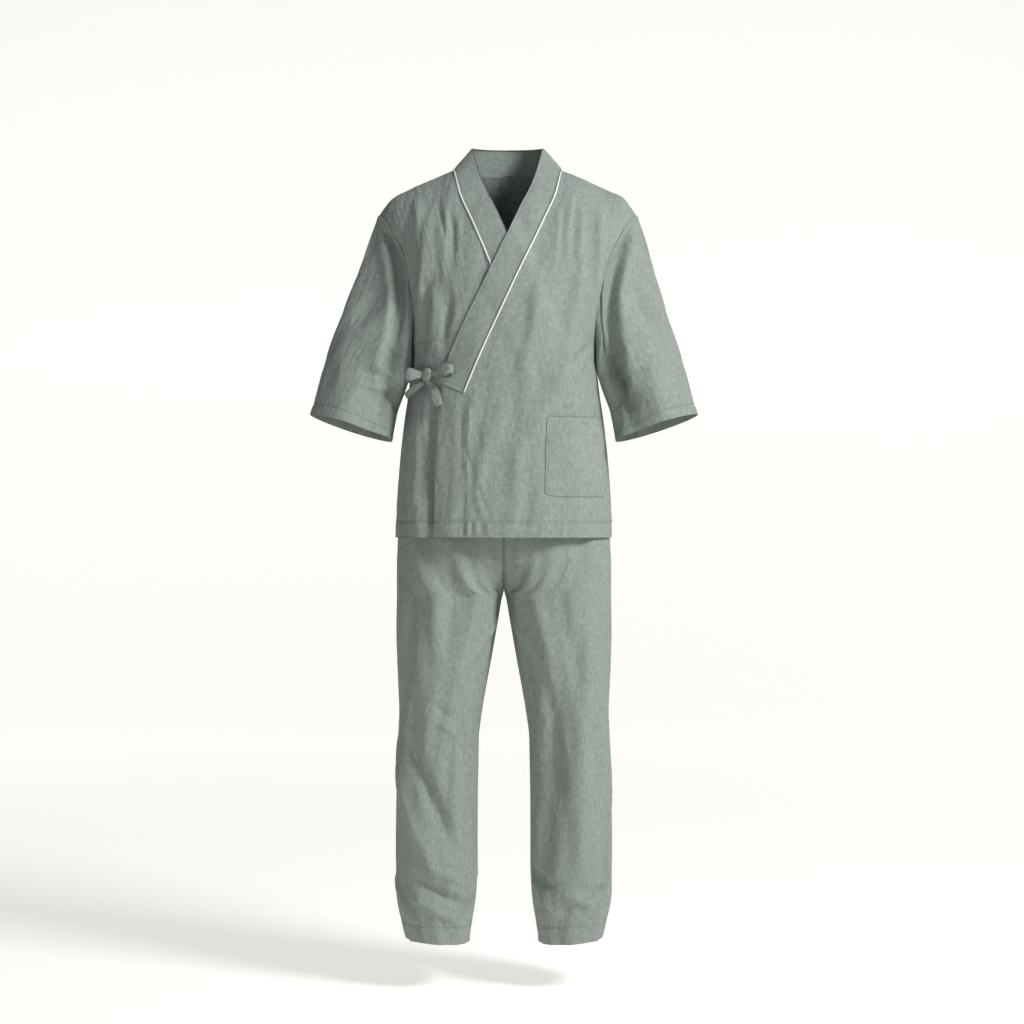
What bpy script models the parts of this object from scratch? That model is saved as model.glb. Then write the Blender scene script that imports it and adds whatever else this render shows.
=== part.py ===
"""Kimono pyjama set: a wrap jacket with flared sleeves, and straight trousers, in hollow worn form.

The cloth is a thin wall on surfaces worked out from the garment's sizes. X runs to the garment's own
left, Y to its back, Z up. The origin is the middle of the neck, level with the shoulder seams there.
"""
import math

import bmesh
import bpy
import numpy as np

# Cloth thickness, the rise of a layer that lies on another, and the gap kept at a seam
WALL = 0.0014
BAND_WALL = 0.0018
LAYER = 0.0026
SEAM = 0.0003
HALF = math.pi / 2
# Step for slopes of a surface, start and rounds for finding where a line crosses a row, nearest share to an edge
STEP = 0.0005
CROSSING_START_X = 0.05
CROSSING_ROUNDS = 24
NEAR_EDGE = 0.9999
NEAR_TOP = 0.9995

# Jacket: share of a panel below the armpit, then heights
LOWER_SHARE = 0.5
ARMPIT_Z = -0.333
HEM_Z = -0.691
HEM_DROP = 0.004
RISE = 0.333

# Jacket body: height, half width, front depth, back depth
BODY = (
    (-0.700, 0.2045, 0.150, 0.158),
    (-0.630, 0.2018, 0.147, 0.154),
    (-0.550, 0.1962, 0.144, 0.146),
    (-0.475, 0.1878, 0.141, 0.137),
    (-0.420, 0.1798, 0.138, 0.130),
    (-0.360, 0.1740, 0.136, 0.125),
    (-0.333, 0.1745, 0.135, 0.124),
)
BODY_ROUND = 2.3
YOKE_ROUND = 0.7
TIP_X = 0.2472
YOKE_EASE = 1.4
FRONT_TURN = 2.0
BACK_TURN = 2.5

# Shoulder line: distance from the middle, height
SHOULDER = (
    (0.000, 0.0440),
    (0.099, 0.0020),
    (0.119, -0.0060),
    (0.153, -0.0210),
    (0.187, -0.0360),
    (0.216, -0.0510),
    (0.2365, -0.0740),
    (0.248, -0.0930),
)

# Sway of the upper jacket towards its left
LEAN = 0.0072
LEAN_START_Z = -0.33
LEAN_SPAN = 0.23

# Armhole: share of the rise, front width share, back width share
ARMHOLE = (
    (0.00, 1.000, 1.000),
    (0.05, 0.972, 0.980),
    (0.20, 0.938, 0.955),
    (0.33, 0.928, 0.950),
    (0.54, 0.915, 0.945),
    (0.71, 0.950, 0.960),
    (0.90, 0.985, 0.985),
    (1.00, 1.000, 1.000),
)

# Collar seam on the over front: height, distance to the garment's left
NECK_SEAM = (
    (-0.4266, -0.0739),
    (-0.3628, -0.0480),
    (-0.2696, -0.0069),
    (-0.1882, 0.0270),
    (-0.1534, 0.0425),
    (-0.1000, 0.0663),
    (-0.0500, 0.0880),
    (0.0020, 0.0995),
)
NECK_HALF = 0.0995
NECK_BACK = 0.080
PANEL_UNDER = 0.0044

# Inner edge of the over front below the collar: height, distance to the garment's left
FRONT_EDGE = (
    (-0.7000, -0.1300),
    (-0.5370, -0.1223),
    (-0.4537, -0.1160),
    (-0.4160, -0.1125),
    (-0.4040, -0.1100),
    (-0.3100, -0.0303),
)

# Collar: seam height, then sideways, outward and upward place of the free edge, and how flat it lies
COLLAR_FRONT = (
    (-0.4266, -0.1165, 0.0, -0.4063, 1.0),
    (-0.3628, -0.0925, 0.0, -0.3428, 1.0),
    (-0.2696, -0.0522, 0.0, -0.2500, 1.0),
    (-0.1882, -0.0165, 0.0, -0.1690, 1.0),
    (-0.1000, 0.0215, 0.0, -0.0820, 1.0),
    (-0.0500, 0.0455, -0.0610, -0.0320, 0.4),
    (-0.0200, 0.0590, -0.0340, 0.0120, 0.0),
    (0.0020, 0.0650, -0.0020, 0.0420, 0.0),
)
COLLAR_BACK_Y = 0.068
COLLAR_BACK_Z = 0.050
COLLAR_SIDE_X = 0.065
COLLAR_SIDE_Z = 0.042
COLLAR_FRONT_SHARE = 0.80
COLLAR_STATIONS = 34
PIPING_RADIUS = 0.0011
PIPING_LIFT = 0.0009
PIPING_SIDES = 6

# Over front: ease where it climbs onto the under front, and how far before the layers it is level
LAP_EASE = 0.028
LAP_MARGIN = 0.020
LAP_TOP_Z = -0.085
PANEL_SHARE = 1.2
BAND_SHARE = 1.6
OVER_BAND_SHARE = 1.2

# Patch pocket on the over front: height, inner edge, outer edge
POCKET = (
    (-0.6190, 0.0745, 0.1868),
    (-0.5450, 0.0762, 0.1840),
    (-0.4710, 0.0785, 0.1808),
)
POCKET_CORNER = 0.006

# Sleeve: cuff middle, half width and half depth of the cuff loop, and its droop to the back
CUFF_X = 0.2880
CUFF_Y = -0.030
CUFF_Z = -0.4885
CUFF_HALF_WIDTH = 0.0765
CUFF_SLANT = 0.0245
CUFF_HALF_DEPTH = 0.069
CUFF_DROOP = 0.007
SLEEVE_START = 0.0019
UNDERARM_STEP = 0.0040
UNDERARM_SHARE = 0.05

# Trouser leg outside: height, outer side, inner side, front depth, back depth, middle in Y
LEG = (
    (-1.4510, 0.1885, 0.0648, 0.084, 0.086, 0.010),
    (-1.4220, 0.1952, 0.0600, 0.086, 0.088, 0.009),
    (-1.3940, 0.2018, 0.0552, 0.090, 0.092, 0.008),
    (-1.3650, 0.2052, 0.0520, 0.092, 0.096, 0.008),
    (-1.3080, 0.2048, 0.0498, 0.092, 0.098, 0.006),
    (-1.1940, 0.2046, 0.0495, 0.093, 0.098, 0.003),
    (-1.0800, 0.2012, 0.0478, 0.095, 0.096, 0.000),
    (-1.0230, 0.1985, 0.0410, 0.098, 0.098, -0.002),
    (-0.9660, 0.2010, 0.0312, 0.101, 0.102, -0.003),
    (-0.9090, 0.2030, 0.0208, 0.104, 0.107, -0.003),
    (-0.8520, 0.2040, 0.0108, 0.108, 0.112, -0.002),
    (-0.7970, 0.2032, 0.0002, 0.112, 0.120, 0.000),
    (-0.7780, 0.2036, -0.0120, 0.114, 0.123, 0.000),
    (-0.7400, 0.2034, -0.0450, 0.117, 0.128, 0.000),
    (-0.7000, 0.2014, -0.0850, 0.120, 0.131, 0.000),
    (-0.6650, 0.2020, -0.1250, 0.121, 0.131, 0.000),
    (-0.6200, 0.1930, -0.1640, 0.120, 0.128, 0.000),
    (-0.5700, 0.1740, -0.1740, 0.116, 0.119, 0.000),
    (-0.5206, 0.1550, -0.1550, 0.110, 0.110, 0.000),
)
LEG_ROUND = 2.25
LEG_HEM_DIP = 0.009
WAIST_TOP_Z = -0.482

# Bow: place of the knot on the under front and half sizes of the knot
KNOT_X = -0.1375
KNOT_Z = -0.3930
KNOT_LIFT = 0.0076
KNOT_HALF = (0.0105, 0.0062, 0.0128)
STRAP = 0.0155
TIE_WALL = 0.0016
STRAP_LIFT = 0.0028
LOOP_TURN = 2.75
LOOP_OPEN = 0.0055
LOOP_STRAP = 0.0180
LOOP_GAP = 0.0013
LEG_ACROSS = 0.30
EDGE_SHARE = 0.12

# Tails through their points, and loops from root to tip with the tilt of their opening
TAILS = (
    ("tie_tail_right", ((-0.1480, -0.1020, -0.4095), (-0.1590, -0.1010, -0.4135), (-0.1715, -0.0960, -0.4210),
                        (-0.1820, -0.0890, -0.4320))),
    ("tie_tail_left", ((-0.1405, -0.1070, -0.4060), (-0.1310, -0.1160, -0.4190), (-0.1240, -0.1230, -0.4340),
                       (-0.1195, -0.1275, -0.4505))),
)
LOOPS = (
    ("tie_loop_right", (-0.1515, -0.0970, -0.3925), (-0.1830, -0.0920, -0.3910), 0.50),
    ("tie_loop_left", (-0.1335, -0.1130, -0.3905), (-0.0955, -0.1480, -0.3845), 0.35),
)
STRAPS = (
    ("tie_strap_left", -0.1120, -0.1306, -0.3945),
    ("tie_strap_right", -0.1735, -0.1540, -0.3925),
)

# Largest folds of the jacket as seen: side and height of both ends, rise, half width
OVER_FOLDS = (
    (-0.066, -0.435, -0.074, -0.690, 0.0050, 0.014),
    (-0.026, -0.470, -0.046, -0.690, 0.0035, 0.016),
    (0.020, -0.520, 0.012, -0.690, 0.0035, 0.018),
    (0.150, -0.240, 0.110, -0.420, 0.0045, 0.016),
    (0.166, -0.120, 0.156, -0.310, 0.0055, 0.014),
)
UNDER_FOLDS = (
    (-0.152, -0.425, -0.154, -0.690, 0.0060, 0.011),
    (-0.135, -0.415, -0.136, -0.620, -0.0030, 0.011),
    (-0.172, -0.425, -0.186, -0.690, 0.0055, 0.010),
    (-0.146, -0.365, -0.105, -0.240, 0.0045, 0.013),
    (-0.160, -0.350, -0.155, -0.220, 0.0045, 0.013),
    (-0.166, -0.120, -0.158, -0.310, 0.0055, 0.014),
)
BACK_FOLDS = (
    (0.130, -0.150, 0.105, -0.420, 0.0060, 0.018),
    (-0.125, -0.160, -0.100, -0.430, 0.0060, 0.018),
    (0.060, -0.330, 0.085, -0.690, 0.0050, 0.020),
    (-0.050, -0.360, -0.070, -0.690, 0.0055, 0.020),
    (0.005, -0.420, -0.010, -0.690, 0.0045, 0.018),
)

# Sleeve folds: share round from the underarm over the front, share along, of both ends, rise, half width
SLEEVE_FOLDS = (
    (0.400, 0.02, 0.130, 0.62, -0.0080, 0.050),
    (0.330, 0.02, 0.230, 0.85, 0.0080, 0.050),
    (0.060, 0.35, 0.170, 0.90, 0.0060, 0.045),
    (0.300, 0.45, 0.330, 1.05, -0.0060, 0.050),
    (0.700, 0.05, 0.880, 0.70, -0.0070, 0.055),
    (0.620, 0.10, 0.700, 0.95, 0.0070, 0.055),
)

# Trouser folds: share from side seam to inner seam and height, of both ends, rise, half width
FRONT_LEG_FOLDS = (
    (0.08, -0.990, 0.45, -1.300, 0.0100, 0.085),
    (0.28, -1.060, 0.62, -1.340, -0.0080, 0.075),
    (0.05, -1.360, 0.80, -1.400, 0.0095, 0.060),
    (0.10, -1.320, 0.85, -1.355, -0.0075, 0.055),
    (0.90, -0.810, 0.35, -0.900, 0.0070, 0.080),
    (0.55, -0.850, 0.52, -1.200, 0.0060, 0.090),
)
BACK_LEG_FOLDS = (
    (0.15, -0.860, 0.85, -0.830, -0.0080, 0.080),
    (0.20, -1.080, 0.80, -1.110, 0.0090, 0.090),
    (0.45, -0.900, 0.50, -1.300, 0.0070, 0.100),
    (0.10, -1.360, 0.75, -1.400, 0.0080, 0.070),
)

# Finishes: colour and roughness
CLOTH = (0.27, 0.30, 0.27)
CLOTH_ROUGH = 0.88
TRIM = (0.86, 0.86, 0.82)
TRIM_ROUGH = 0.6


def follow(rows, column, at):
    """Smooth line through one column of a table, read against its first column."""
    table = np.array(rows, dtype=float)
    place, value = table[:, 0], table[:, column]
    step = np.diff(place)
    slope = np.diff(value) / step
    product = slope[1:] * slope[:-1]
    total = np.where(product > 0, slope[1:] + slope[:-1], 1.0)
    tangent = np.concatenate([slope[:1], np.where(product > 0, 2 * product / total, 0.0), slope[-1:]])
    at = np.clip(at, place[0], place[-1])
    cell = np.clip(np.searchsorted(place, at) - 1, 0, len(step) - 1)
    share = (at - place[cell]) / step[cell]
    rise = value[cell + 1] - value[cell]
    start = tangent[cell] * step[cell]
    end = tangent[cell + 1] * step[cell]
    return (value[cell] + start * share + (3 * rise - 2 * start - end) * share ** 2
            + (start + end - 2 * rise) * share ** 3)


def ease(share):
    """Soft step from 0 to 1."""
    share = np.clip(share, 0.0, 1.0)
    return share * share * (3 - 2 * share)


def point(x, y, z):
    """Points from their three coordinates."""
    return np.stack(np.broadcast_arrays(x, y, z), axis=-1).astype(float)


def unit(vector):
    """Vectors of length one."""
    return vector / np.maximum(np.linalg.norm(vector, axis=-1, keepdims=True), 1e-12)


def folds(across, along, rows, stretch=1.0):
    """Height of soft folds; the second coordinate is scaled so that both read alike."""
    total = np.zeros(np.broadcast(across, along).shape)
    for start_a, start_b, end_a, end_b, rise, width in rows:
        run_a = end_a - start_a
        run_b = (end_b - start_b) * stretch
        length = math.hypot(run_a, run_b)
        off_a = across - start_a
        off_b = (along - start_b) * stretch
        share = (off_a * run_a + off_b * run_b) / length ** 2
        away = (off_a * run_b - off_b * run_a) / length
        taper = np.sin(math.pi * np.clip(share, 0.0, 1.0)) ** 0.6
        total = total + rise * np.exp(-(away / width) ** 2) * taper
    return total


def torso(turn, up):
    """Jacket body surface: turn is 0 at the front, a right angle at the left side, twice that behind.

    Up is the distance above the armpit; above it the rise turns over the shoulder.
    """
    angle = np.maximum(up, 0.0) / RISE
    level = np.minimum(up, 0.0)
    low = ARMPIT_Z + level
    facing = -np.sign(np.cos(turn)) * np.sign(np.cos(angle))
    soft = 2 / np.where(facing < 0, FRONT_TURN, BACK_TURN)
    share = np.sin(angle) ** soft
    wide = np.where(up < 0, follow(BODY, 1, low), BODY[-1][1] + (TIP_X - BODY[-1][1]) * np.abs(share) ** YOKE_EASE)
    power = BODY_ROUND + YOKE_ROUND * np.abs(share)
    sine = np.sin(turn)
    edge = np.maximum(1 - np.abs(sine) ** power, 0.0) ** (1 / power)
    front = np.where(up < 0, follow(BODY, 2, low), BODY[-1][2])
    back = np.where(up < 0, follow(BODY, 3, low), BODY[-1][3])
    depth = np.where(facing < 0, front, back)
    x = wide * sine
    top = follow(SHOULDER, 1, np.abs(x))
    z = np.where(up < 0, low, ARMPIT_Z + share * (top - ARMPIT_Z))
    y = facing * depth * edge * np.abs(np.cos(angle)) ** soft
    return point(x, y, z)


def front_at(x, z):
    """Point of the front surface seen at one place from the front."""
    x, z = np.broadcast_arrays(np.asarray(x, dtype=float), np.asarray(z, dtype=float))
    top = follow(SHOULDER, 1, np.abs(x))
    share = np.clip((z - ARMPIT_Z) / (top - ARMPIT_Z), 0.0, NEAR_TOP)
    wide = np.where(z < ARMPIT_Z, follow(BODY, 1, z), BODY[-1][1] + (TIP_X - BODY[-1][1]) * share ** YOKE_EASE)
    turn = np.arcsin(np.clip(x / wide, -NEAR_EDGE, NEAR_EDGE))
    up = np.where(z < ARMPIT_Z, z - ARMPIT_Z, RISE * np.arcsin(share))
    return torso(turn, up)


def front_normal(x, z):
    """Outward direction of the front surface."""
    across = front_at(x + STEP, z) - front_at(x - STEP, z)
    upward = front_at(x, z + STEP) - front_at(x, z - STEP)
    return unit(np.cross(across, upward))


def edge_x(z):
    """Inner edge of the over front: under the collar, then straight down."""
    return np.where(z > FRONT_EDGE[-1][0], follow(NECK_SEAM, 1, z) - PANEL_UNDER, follow(FRONT_EDGE, 1, z))


def lap_x(z):
    """Outermost line of the over front and its collar."""
    return np.where(z > COLLAR_FRONT[0][3], follow([(row[3], row[1]) for row in COLLAR_FRONT], 1, z),
                    follow(FRONT_EDGE, 1, z))


def over_rise(x, z):
    """How far the over front stands off where it lies on the under front and on its collar."""
    reach = LAP_EASE + LAP_MARGIN
    on_panel = ease((reach - lap_x(z) - x) / LAP_EASE)
    seam = -follow(NECK_SEAM, 1, z)
    on_band = ease((x - seam + reach) / LAP_EASE) * ease((z - NECK_SEAM[0][0] + reach) / LAP_EASE)
    return LAYER * on_panel * (PANEL_SHARE + BAND_SHARE * on_band) * ease((LAP_TOP_Z - z) / LAP_EASE)


def hem_up(across, share):
    """Height above the armpit for a share of the way from hem to armpit."""
    bottom = HEM_Z - ARMPIT_Z - HEM_DROP * (1 - np.clip(np.abs(across), 0, 1) ** 2)
    return bottom * (1 - share)


def panel_up(across, v):
    """Rows of a jacket panel: the lower share below the armpit, the rest over the shoulder."""
    lower = hem_up(across, np.clip(v / LOWER_SHARE, None, 1.0))
    upper = RISE * HALF * (v - LOWER_SHARE) / (1 - LOWER_SHARE)
    return np.where(v < LOWER_SHARE, lower, upper)


def arm_turn(up, column):
    """Turn at which a panel ends: at the side seam, and above it at the armhole."""
    share = np.sin(np.clip(up / RISE, 0.0, HALF))
    return np.arcsin(np.clip(follow(ARMHOLE, column, share), 0.0, 1.0))


def front_panel(u, v):
    """Front panel of the garment's left side: u from its inner edge to the side, v from hem to shoulder."""
    up = panel_up(0.6 - 0.4 * u, v)
    inner = row_x(up, edge_x)
    turn = inner + (arm_turn(up, 1) - inner) * u
    return torso(turn, up)


def neck_share(x, y):
    """Share of the rise at which the back surface reaches a place beside the neck."""
    power = BODY_ROUND + YOKE_ROUND
    edge = np.maximum(1 - np.abs(x / TIP_X) ** power, 1e-6) ** (1 / power)
    turned = np.clip(y / (BODY[-1][3] * edge), 0.0, 0.97)
    return (1 - turned ** BACK_TURN) ** (1 / BACK_TURN)


def back_panel(u, v):
    """Back panel: u from the garment's left to its right, v from hem to shoulder and neck."""
    side = 2 * u - 1
    up = panel_up(side, v)
    reach = arm_turn(up, 2)
    full = np.clip(v, 0, 1)
    x = TIP_X * np.abs(np.sin(np.clip(np.abs(side), 0, 1) * HALF))
    inside = np.clip(x / (NECK_HALF - PANEL_UNDER), 0.0, 1.0)
    stop = np.arcsin(neck_share(x, (NECK_BACK - PANEL_UNDER) * np.sqrt(1 - inside ** 2)) ** (BACK_TURN / 2)) / HALF
    climb = ease((full - LOWER_SHARE) / (1 - LOWER_SHARE))
    up = np.where(v > LOWER_SHARE, up * (1 - (1 - stop) * climb), up)
    turn = math.pi - side * reach
    return torso(turn, up)


def sleeve_ring(u):
    """Armhole line: from the underarm up the front, over the shoulder and down the back."""
    u = np.mod(u, 1.0)
    front = u < 0.5
    angle = math.pi * np.where(front, u, 1 - u)
    share = np.sin(angle)
    up = RISE * angle
    turn = np.where(front, np.arcsin(follow(ARMHOLE, 1, share)), math.pi - np.arcsin(follow(ARMHOLE, 2, share)))
    place = torso(turn, up)
    near = np.minimum(u, 1 - u) / UNDERARM_SHARE
    shift = SLEEVE_START + UNDERARM_STEP * np.exp(-near ** 2)
    return place + point(shift, 0.0, 0.0)


def cuff_ring(u):
    """Cuff line in the same order as the armhole line."""
    angle = math.pi + 2 * math.pi * u
    out = np.cos(angle)
    back = np.sin(angle)
    return point(CUFF_X + CUFF_HALF_WIDTH * out, CUFF_Y + CUFF_HALF_DEPTH * back,
                 CUFF_Z + CUFF_SLANT * out - CUFF_DROOP * back)


def sleeve(u, v):
    """Left sleeve: straight lines from armhole to cuff, a little hollow along the body."""
    start = sleeve_ring(u)
    end = cuff_ring(u)
    share = v[..., None] if isinstance(v, np.ndarray) else v
    place = start + (end - start) * share
    inner = 0.5 + 0.5 * np.cos(2 * math.pi * u)
    hollow = -0.006 * np.sin(math.pi * np.clip(v, 0, 1)) * inner ** 2
    place[..., 0] += hollow
    return place


def leg(turn, z):
    """Left leg outside: turn 0 at the side seam, half a turn at the inner seam, negative behind."""
    outer = follow(LEG, 1, z)
    inner = follow(LEG, 2, z)
    middle = (outer + inner) / 2
    half = (outer - inner) / 2
    cosine = np.cos(turn)
    edge = np.maximum(1 - np.abs(cosine) ** LEG_ROUND, 0.0) ** (1 / LEG_ROUND)
    facing = -np.sign(np.sin(turn))
    depth = np.where(facing < 0, follow(LEG, 3, z), follow(LEG, 4, z))
    return point(middle + half * cosine, follow(LEG, 5, z) + facing * depth * edge, z)


def leg_stop(z):
    """Turn at which a leg panel meets its neighbour at the middle of the body or at the inner seam."""
    outer = follow(LEG, 1, z)
    inner = follow(LEG, 2, z)
    return np.arccos(np.clip((SEAM - outer - inner) / (outer - inner), -1.0, 1.0))


def leg_panel(u, v, facing):
    """Trouser panel: u from side seam to inner seam, v from hem to waist; facing is 1 in front, -1 behind."""
    low = LEG[0][0] - LEG_HEM_DIP * ease(u) * (0.6 + 0.4 * facing)
    z = low + (LEG[-1][0] - low) * v
    return leg(facing * leg_stop(z) * u, z)


def walls(surface, u, v, inside, outside):
    """Two point grids of a wall about a surface, moved along its outward direction."""
    small = 0.0008
    place = surface(u, v)
    across = surface(u + small, v) - surface(u - small, v)
    upward = surface(u, v + small) - surface(u, v - small)
    normal = unit(np.cross(across, upward))
    return place + normal * inside[..., None], place + normal * outside[..., None]


def grid(columns, rows):
    """Shares across and along for a grid of points."""
    return np.meshgrid(np.linspace(0, 1, columns + 1), np.linspace(0, 1, rows + 1))


def lean(place):
    """Upper jacket moved a little to its left."""
    moved = place.copy()
    moved[..., 0] += LEAN * ease((place[..., 2] - LEAN_START_Z) / LEAN_SPAN)
    return moved


def mirror(place):
    """Points on the garment's right side."""
    return place * np.array([-1.0, 1.0, 1.0])


def finish(name, colour, rough):
    """Material of one plain colour."""
    material = bpy.data.materials.new(name)
    material.use_nodes = True
    shader = material.node_tree.nodes["Principled BSDF"]
    shader.inputs["Base Color"].default_value = (*colour, 1.0)
    shader.inputs["Roughness"].default_value = rough
    return material


def add_mesh(name, vertices, faces, material):
    """One closed smooth body."""
    mesh = bpy.data.meshes.new(name)
    mesh.from_pydata([tuple(map(float, vertex)) for vertex in vertices], [], faces)
    build = bmesh.new()
    build.from_mesh(mesh)
    bmesh.ops.recalc_face_normals(build, faces=build.faces)
    build.to_mesh(mesh)
    build.free()
    for face in mesh.polygons:
        face.use_smooth = True
    mesh.materials.append(material)
    body = bpy.data.objects.new(name, mesh)
    bpy.context.scene.collection.objects.link(body)
    return body


def add_wall(name, inside, outside, material, ring=False):
    """Closed wall between two grids, both cut along the same diagonals; a ring joins across its columns."""
    rows, columns = inside.shape[:2]
    count = rows * columns
    index = np.arange(count).reshape(rows, columns)
    if ring:
        index = np.concatenate([index, index[:, :1]], axis=1)
    faces = []
    for low, high in zip(index[:-1], index[1:]):
        for a, b, c, d in zip(low[:-1], low[1:], high[1:], high[:-1]):
            faces += [(a, b, c), (a, c, d)]
            faces += [(c + count, b + count, a + count), (d + count, c + count, a + count)]
    edges = [(index[0, :-1], index[0, 1:]), (index[-1, 1:], index[-1, :-1])]
    if not ring:
        edges += [(index[1:, 0], index[:-1, 0]), (index[:-1, -1], index[1:, -1])]
    for starts, ends in edges:
        for a, b in zip(starts, ends):
            faces.append((b, a, a + count, b + count))
    vertices = np.concatenate([inside.reshape(-1, 3), outside.reshape(-1, 3)])
    return add_mesh(name, vertices, [tuple(map(int, face)) for face in faces], material)


def add_strip(name, path, width, thickness, material, across=2):
    """Flat strap: a path with the half-width direction at each of its points."""
    share = np.linspace(-1, 1, across + 1)
    place = path[:, None, :] + width[:, None, :] * share[None, :, None]
    forward = np.gradient(path, axis=0)
    normal = unit(np.cross(forward, width))[:, None, :]
    return add_wall(name, place - normal * thickness / 2, place + normal * thickness / 2, material)


def jacket_body(material):
    """Back and the two fronts."""
    half = WALL / 2
    u, v = grid(24, 22)
    base = back_panel(u, v)
    extra = folds(base[..., 0], base[..., 2], BACK_FOLDS) * ease(u / EDGE_SHARE) * ease((1 - u) / EDGE_SHARE)
    inside, outside = walls(back_panel, u, v, extra - half, extra + half)
    gap = np.array([0.0, SEAM / 2, 0.0])
    add_wall("jacket_back", lean(inside + gap), lean(outside + gap), material)
    u, v = grid(18, 22)
    base = front_panel(u, v)
    calm = ease((1 - u) / EDGE_SHARE)
    lift = over_rise(base[..., 0], base[..., 2]) + folds(base[..., 0], base[..., 2], OVER_FOLDS) * calm
    inside, outside = walls(front_panel, u, v, lift - half, lift + half)
    add_wall("jacket_front_left", lean(inside - gap), lean(outside - gap), material)
    extra = folds(-base[..., 0], base[..., 2], UNDER_FOLDS) * calm
    inside, outside = walls(front_panel, u, v, extra - half, extra + half)
    add_wall("jacket_front_right", lean(mirror(inside - gap)), lean(mirror(outside - gap)), material)


def sleeves(material):
    """Two sleeves, each one piece closed under the arm."""
    half = np.full((15, 22), WALL / 2)
    u, v = np.meshgrid(np.linspace(0, 1, 23)[:-1], np.linspace(0, 1, 15))
    extra = folds(u, v, SLEEVE_FOLDS) * ease(v / 0.08)
    inside, outside = walls(sleeve, u, v, -extra + half, -extra - half)
    add_wall("sleeve_left", lean(inside), lean(outside), material, ring=True)
    add_wall("sleeve_right", lean(mirror(inside)), lean(mirror(outside)), material, ring=True)


def row_x(up, line):
    """Where a line read by height crosses each row of the front."""
    angle = np.clip(up / RISE, 0.0, HALF)
    share = np.sin(angle)
    x = np.full(up.shape, CROSSING_START_X)
    for _ in range(CROSSING_ROUNDS):
        top = follow(SHOULDER, 1, np.abs(x))
        x = line(np.where(up < 0, ARMPIT_Z + up, ARMPIT_Z + share * (top - ARMPIT_Z)))
    wide = np.where(up < 0, follow(BODY, 1, ARMPIT_Z + up),
                    BODY[-1][1] + (TIP_X - BODY[-1][1]) * share ** YOKE_EASE)
    return np.arcsin(np.clip(x / wide, -1.0, 1.0))


def seam_x(z):
    """Collar seam on the over front."""
    return follow(NECK_SEAM, 1, z)


def collar_half(stations, columns, over):
    """Points of half the collar, from its front end to the middle of the back, seam edge first."""
    front = stations <= COLLAR_FRONT_SHARE
    share = np.clip(stations / COLLAR_FRONT_SHARE, 0.0, 1.0)
    start = NECK_SEAM[0][0] - ARMPIT_Z
    up = start + (RISE * HALF - start) * share
    seam = torso(row_x(up, seam_x), up)
    z = seam[..., 2]
    flat = follow(COLLAR_FRONT, 4, z)
    free_x = follow(COLLAR_FRONT, 1, z)
    free_z = follow(COLLAR_FRONT, 3, z)
    free = front_at(free_x, free_z)
    free[..., 1] = flat * free[..., 1] + (1 - flat) * follow(COLLAR_FRONT, 2, z)
    free[..., 2] = free_z
    turn = HALF * np.clip((stations - COLLAR_FRONT_SHARE) / (1 - COLLAR_FRONT_SHARE), 0.0, 1.0)
    back_x, back_y = NECK_HALF * np.cos(turn), NECK_BACK * np.sin(turn)
    height = ARMPIT_Z + neck_share(back_x, back_y) * (follow(SHOULDER, 1, back_x) - ARMPIT_Z)
    seam_back = point(back_x, back_y, height)
    free_back = point(COLLAR_SIDE_X * np.cos(turn), COLLAR_BACK_Y * np.sin(turn),
                      COLLAR_SIDE_Z + (COLLAR_BACK_Z - COLLAR_SIDE_Z) * np.sin(turn))
    pick = front[..., None]
    seam = np.where(pick, seam, seam_back)
    free = np.where(pick, free, free_back)
    hug = np.where(front, flat, 0.0)[:, None]
    part = np.linspace(0, 1, columns + 1)[None, :]
    place = seam[:, None, :] * (1 - part[..., None]) + free[:, None, :] * part[..., None]
    on_body = front_at(place[..., 0], np.minimum(place[..., 2], -0.02))
    place[..., 1] += hug * (on_body[..., 1] - place[..., 1])
    lift = np.full(place.shape[:2], LAYER)
    if over:
        lift = lift * OVER_BAND_SHARE + over_rise(place[..., 0], place[..., 2])
    return place, lift


def grid_normals(place):
    """Outward directions of a grid of points."""
    return unit(np.cross(np.gradient(place, axis=0), np.gradient(place, axis=1)))


def collar(material, trim):
    """Collar band in one piece round the neck, and the piping along its seam."""
    stations = np.linspace(0, 1, COLLAR_STATIONS + 1)
    over, over_lift = collar_half(stations, 3, True)
    under, under_lift = collar_half(stations, 3, False)
    place = np.concatenate([over, mirror(under)[-2::-1]])
    lift = np.concatenate([over_lift, under_lift[-2::-1]])
    normal = grid_normals(place)
    normal *= np.sign(normal[0, 0, 1]) * -1
    inner = place + normal * (lift - BAND_WALL / 2)[..., None]
    outer = place + normal * (lift + BAND_WALL / 2)[..., None]
    add_wall("collar_band", lean(inner), lean(outer), material)
    side = unit(place[:, 0] - place[:, 1])
    reach = PIPING_RADIUS + SEAM
    path = place[:, 0] + side * reach + normal[:, 0] * (lift[:, 0] + PIPING_LIFT)[:, None]
    turns = np.arange(PIPING_SIDES) * 2 * math.pi / PIPING_SIDES
    around = (side[:, None, :] * np.cos(turns)[None, :, None]
              + normal[:, 0][:, None, :] * np.sin(turns)[None, :, None])
    add_rod("collar_piping", lean(path[:, None, :] + around * PIPING_RADIUS), trim)


def add_rod(name, rings, material):
    """Closed solid rod from its rings."""
    rows, sides = rings.shape[:2]
    faces = []
    for row in range(rows - 1):
        for side in range(sides):
            after = (side + 1) % sides
            low, high = row * sides, (row + 1) * sides
            faces.append((low + side, low + after, high + after, high + side))
    faces.append(tuple(range(sides - 1, -1, -1)))
    faces.append(tuple(range((rows - 1) * sides, rows * sides)))
    return add_mesh(name, rings.reshape(-1, 3), faces, material)


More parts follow.
